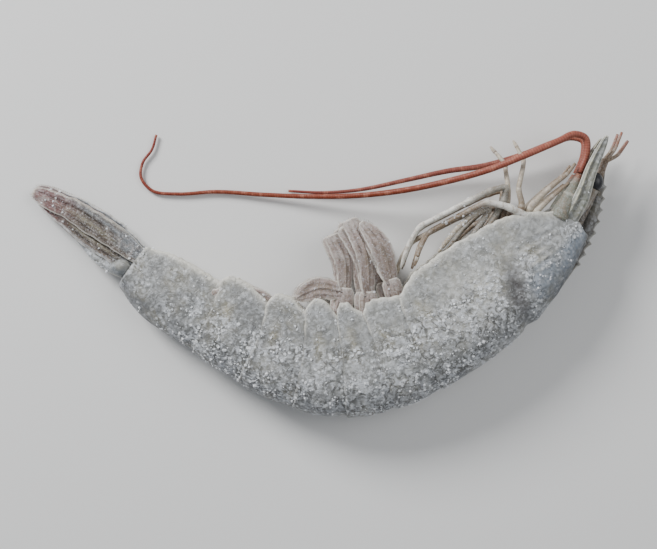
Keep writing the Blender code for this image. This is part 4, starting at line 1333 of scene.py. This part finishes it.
def add_walking_legs(material):
    """Five pairs of jointed legs, the first three with small claws."""
    for index, (root, joints) in enumerate(zip(LEG_ROOTS, LEG_JOINTS)):
        depth = curve_value(CARAPACE_BELLY, root) - LEG_ROOT_DEPTH
        far_joints = mirrored(LEG_JOINTS[FAR_LEG_PATTERN[index]], FAR_LEG_SHIFT[index])
        # The right flank's legs take the far tints, browner with painted shade.
        for flank, side, places, tints, frosts in (
            ("left", LEG_ROOT_SIDE, joints, NEAR_LEG_TINTS, NEAR_LEG_FROST),
            ("right", -LEG_ROOT_SIDE, far_joints, FAR_LEG_SHADED_TINTS, FAR_LEG_FROST),
        ):
            name = f"{index + 1}_{flank}"
            course = [body_point(root, -depth, side), *places]
            tint_at = plain_tint(*tints[index])
            clawed = index < CLAWED_LEGS
            base, tip = Vector(course[-2]), Vector(course[-1])
            end = tip + (base - tip).normalized() * (CLAW_LEG_CUT if clawed else 0.0)
            add_limb(f"leg_{name}", [*course[:-1], end], CLAW_LEG_RADII if clawed else LEG_RADII,
                     material, tint_at, frost=frosts[index])
            if clawed:
                add_claw(f"claw_{name}", course, material, tint_at)


def swim_tint(share, place):
    """Pinkish blade with brown streaks along its middle and a whitish edge."""
    streaks = 0.5 + 0.5 * np.cos(place * 12 + 1.5 * np.sin(share * 6))
    broken = 0.6 + 0.4 * np.sin(share * 17 + place * 5)
    return layered(
        SWIM_PINK, share.shape,
        (SWIM_BROWN, 0.95 * streaks ** 2 * broken * ease(abs(place), 0.85, 0.6)),
        (SWIM_BROWN, 0.6 * ease(share, 0.3, 0.0)),
        (SWIM_TAN, 0.7 * hump(share, 0.4, 0.22) * hump(place, 0.1, 0.35)),
        (SWIM_WHITE, 0.75 * np.maximum(ease(share, 0.8, 1.0), ease(abs(place), 0.75, 0.95))),
    )


def add_swimmeret(name, item, side, material):
    """A stout stem from the belly with two long leaf blades and their bristles."""
    far = side < 0
    root = item["root"] + (FAR_SWIMMERET_SHIFT if far else 0.0)
    turn = FAR_SWIMMERET_LEAN if far else 0
    depth = curve_value(BELLY_DEPTH, root) - SWIMMERET_DEPTH
    ahead, back, flank = body_frame(root)[1:]
    splay = flank * side * SWIMMERET_SPLAY

    def leaning(lean):
        angle = math.radians(lean + turn)
        return -back * math.cos(angle) - ahead * math.sin(angle)

    down = leaning(item["lean"])
    hip = body_point(root, -depth, side * SWIMMERET_SPREAD)
    knee = hip + down * item["stem"] + splay * 0.5
    add_blade(f"{name}_stem", smooth_path([hip, knee], STEM_STEPS), STEM_WIDTHS, STEM_THICKNESS,
              UP, material, swim_tint, STEM_RIBS, thinning=0.4, steps=24, frost=0.1)
    for kind, bow in SWIM_BOWS.items():
        lean, length, outline = item[kind]
        angle = math.radians(lean + turn)
        course = leaning(lean) * length
        curl = (ahead * math.cos(angle) - back * math.sin(angle)) * length * SWIMMERET_CURL
        start = knee - down * SWIM_OVERLAP
        middle = knee + course * 0.5 + curl + splay * bow
        end = knee + course + splay * 0.2
        path = smooth_path([start, middle, end], SWIM_STEPS)
        widths = SWIMMERET_WIDTHS[outline]
        normal = flank + ahead * 0.3 * side
        add_blade(f"{name}_{kind}", path, widths, SWIM_THICKNESS, normal, material,
                  swim_tint, SWIM_RIBS, steps=30, wave=0.22, frost=0.1, ragged=0.1)
        add_fringe(f"{name}_{kind}_hairs", path, widths, normal, material, "swimmeret",
                   SWIM_WHITE, **SWIM_FRINGE)


def add_swimmerets(material):
    """Five pairs of swimmerets, from the last pair by the tail to the first."""
    for number, item in enumerate(SWIMMERETS):
        for flank, side in (("left", 1), ("right", -1)):
            add_swimmeret(f"swimmeret_{5 - number}_{flank}", item, side, material)


def add_antenna(flank, course, count, material, deep):
    """One long whip with fine rings, fading in colour towards its end."""
    rows = tube_points(smooth_path(course, count), lambda share: curve_value(ANTENNA_RADII, share),
                       ANTENNA_SIDES)
    share = in_rows(np.linspace(0, 1, count), ANTENNA_SIDES)
    tint = layered(ANTENNA_SALMON, share.shape, (deep, ease(share, 0.15, 0.45)),
                   (ANTENNA_END, ease(share, 0.75, 1.0)))
    add_piece(f"whip_{flank}", rows, tube_faces(count, ANTENNA_SIDES), material,
              tint=tint, rim=in_rows(np.arange(count) % 2, ANTENNA_SIDES),
              node=f"antenna_{flank}")


# ---------------------------------------------------------------- frost

GRAIN_COUNT = 3000
GRAIN_SEED = 5
SMALLEST_GRAIN = 0.12
LARGEST_GRAIN = 0.45
# The grains lie in clusters: sizes of the clusters, share of grains outside them, contrast.
GRAIN_CLUSTERS = (6.0, 1.9)
GRAIN_BASE = 0.20
GRAIN_CONTRAST = 1.3
# No grain lies lower than this, where the shrimp touches the surface.
LOWEST_FROST = 1.0
CRYSTAL = ((1, 0, 0), (0, 1, 0), (-1, 0, 0), (0, -1, 0), (0, 0, 1), (0, 0, -1))
CRYSTAL_FACES = ((0, 1, 4), (1, 2, 4), (2, 3, 4), (3, 0, 4), (1, 0, 5), (2, 1, 5), (3, 2, 5),
                 (0, 3, 5))


def frosted_quads():
    """Corners of every four-sided face that can carry frost, and how thickly it lies there."""
    corners, covers = [], []
    for piece in bpy.context.scene.objects:
        if piece.type != "MESH" or "frost" not in piece.data.attributes:
            continue
        mesh = piece.data
        points = np.zeros(len(mesh.vertices) * 3)
        mesh.vertices.foreach_get("co", points)
        cover = np.zeros(len(mesh.vertices))
        mesh.attributes["frost"].data.foreach_get("value", cover)
        quads = np.array([tuple(face.vertices) for face in mesh.polygons
                          if len(face.vertices) == 4])
        corners.append((points.reshape(-1, 3) / MM)[quads])
        covers.append(cover[quads].mean(axis=1))
    return np.concatenate(corners), np.concatenate(covers)


def add_frost(material):
    """Loose ice grains: small uneven crystals that are about half sunk into the surface."""
    rng = np.random.default_rng(GRAIN_SEED)
    corners, cover = frosted_quads()
    normals = np.cross(corners[:, 2] - corners[:, 0], corners[:, 3] - corners[:, 1])
    area = np.linalg.norm(normals, axis=1)
    normals /= area[:, None] + 1e-9
    area = np.where(corners[:, :, 2].mean(axis=1) > LOWEST_FROST, area * cover, 0.0)
    chosen = rng.choice(len(corners), size=GRAIN_COUNT * 3, p=area / area.sum())
    u, v = rng.random((2, len(chosen), 1))
    quad = corners[chosen]
    places = (quad[:, 0] * (1 - u) + quad[:, 1] * u) * (1 - v) + (quad[:, 3] * (1 - u)
                                                                  + quad[:, 2] * u) * v
    density = np.array([sum(noise.noise(Vector(place) / size) for size in GRAIN_CLUSTERS)
                        for place in places])
    keep = rng.random(len(places)) < GRAIN_BASE + GRAIN_CONTRAST * density
    places, normals = places[keep][:GRAIN_COUNT], normals[chosen][keep][:GRAIN_COUNT]
    count = len(places)
    size = SMALLEST_GRAIN + (LARGEST_GRAIN - SMALLEST_GRAIN) * rng.random(count) ** 3
    axes = np.linalg.qr(rng.normal(size=(count, 3, 3)))[0]
    stretch = 0.6 + 0.8 * rng.random((count, 1, 3))
    points = np.einsum("kc,nca->nka", np.array(CRYSTAL, float), axes * stretch.transpose(0, 2, 1))
    points = points * size[:, None, None] + (places + normals * size[:, None] * 0.05)[:, None, :]
    faces = [tuple(6 * n + k for k in corner) for n in range(count) for corner in CRYSTAL_FACES]
    add_piece("frost_grains", points, faces, material).data.shade_flat()


# ---------------------------------------------------------------- stage

VIEW_CENTRE = (0.4, -0.2, 6.0)
VIEW_DISTANCE = 360.0
VIEW_WIDTH = 152.0
SENSOR = 36.0
FLOOR_DROP = 0.02
# The floor and the lights are measured in metres, and the lights' power in watts.
FLOOR_HALF = 1.5
FLOOR_PALE = (0.78, 0.78, 0.77, 1.0)
SKY_PALE = (0.92, 0.95, 1.0, 1.0)
SKY_STRENGTH = 0.34
LIGHTS = (
    {"name": "key", "place": (-0.40, 0.40, 0.36), "size": 0.26, "power": 6.0},
    {"name": "fill", "place": (0.36, 0.1, 0.45), "size": 0.45, "power": 1.1},
)


def add_camera():
    """Straight above, as in the photograph, close enough for the one shrimp to fill the frame."""
    data = bpy.data.cameras.new("camera")
    data.sensor_width = SENSOR
    data.lens = SENSOR * VIEW_DISTANCE / VIEW_WIDTH
    data.clip_start = 0.01
    camera = bpy.data.objects.new("camera", data)
    x, y, z = VIEW_CENTRE
    camera.location = (x * MM, y * MM, (z + VIEW_DISTANCE) * MM)
    bpy.context.scene.collection.objects.link(camera)
    bpy.context.scene.camera = camera


def add_light(name, place, size, power):
    """Round soft light that points at the middle of the stage."""
    data = bpy.data.lights.new(name, "AREA")
    data.shape = "DISK"
    data.size = size
    data.energy = power
    light = bpy.data.objects.new(name, data)
    light.location = place
    light.rotation_euler = (-Vector(place)).to_track_quat("-Z", "Y").to_euler()
    bpy.context.scene.collection.objects.link(light)


def add_stage():
    """Plain pale floor and soft studio light."""
    bm = bmesh.new()
    bmesh.ops.create_grid(bm, x_segments=1, y_segments=1, size=FLOOR_HALF)
    mesh = bpy.data.meshes.new("floor")
    bm.to_mesh(mesh)
    bm.free()
    floor = bpy.data.objects.new("floor", mesh)
    floor.location.z = -FLOOR_DROP * MM
    bpy.context.scene.collection.objects.link(floor)
    material = bpy.data.materials.new("floor_pale")
    material.use_nodes = True
    surface = material.node_tree.nodes["Principled BSDF"]
    surface.inputs["Base Color"].default_value = FLOOR_PALE
    surface.inputs["Roughness"].default_value = 0.7
    mesh.materials.append(material)
    world = bpy.data.worlds.new("studio")
    world.use_nodes = True
    sky = world.node_tree.nodes["Background"]
    sky.inputs["Color"].default_value = SKY_PALE
    sky.inputs["Strength"].default_value = SKY_STRENGTH
    bpy.context.scene.world = world
    for light in LIGHTS:
        add_light(**light)


# ---------------------------------------------------------------- build

def main():
    """Make the materials, the pieces, the frost and the stage."""
    shell = shell_material()
    limb = limb_material("limb", LIMB_TAN)
    fan = limb_material("tail_fan", FAN_DARK, blotch=0.35)
    swim = limb_material("swimmeret", SWIM_TAN, frost=0.35, blotch=0.5)
    for index in range(len(LOBE_LENGTHS)):
        add_ring(index, shell)
    add_carapace(shell)
    add_rostrum(shell)
    add_tail_fan(fan, shell)
    add_head(shell, limb, eye_material())
    add_walking_legs(limb)
    add_swimmerets(swim)
    antenna = antenna_material()
    add_antenna("left", ANTENNA_COURSE, ANTENNA_STEPS, antenna, ANTENNA_DEEP)
    add_antenna("right", FAR_ANTENNA_COURSE, FAR_ANTENNA_STEPS, antenna, ANTENNA_ROSE)
    add_frost(frost_material())
    add_camera()
    add_stage()


main()
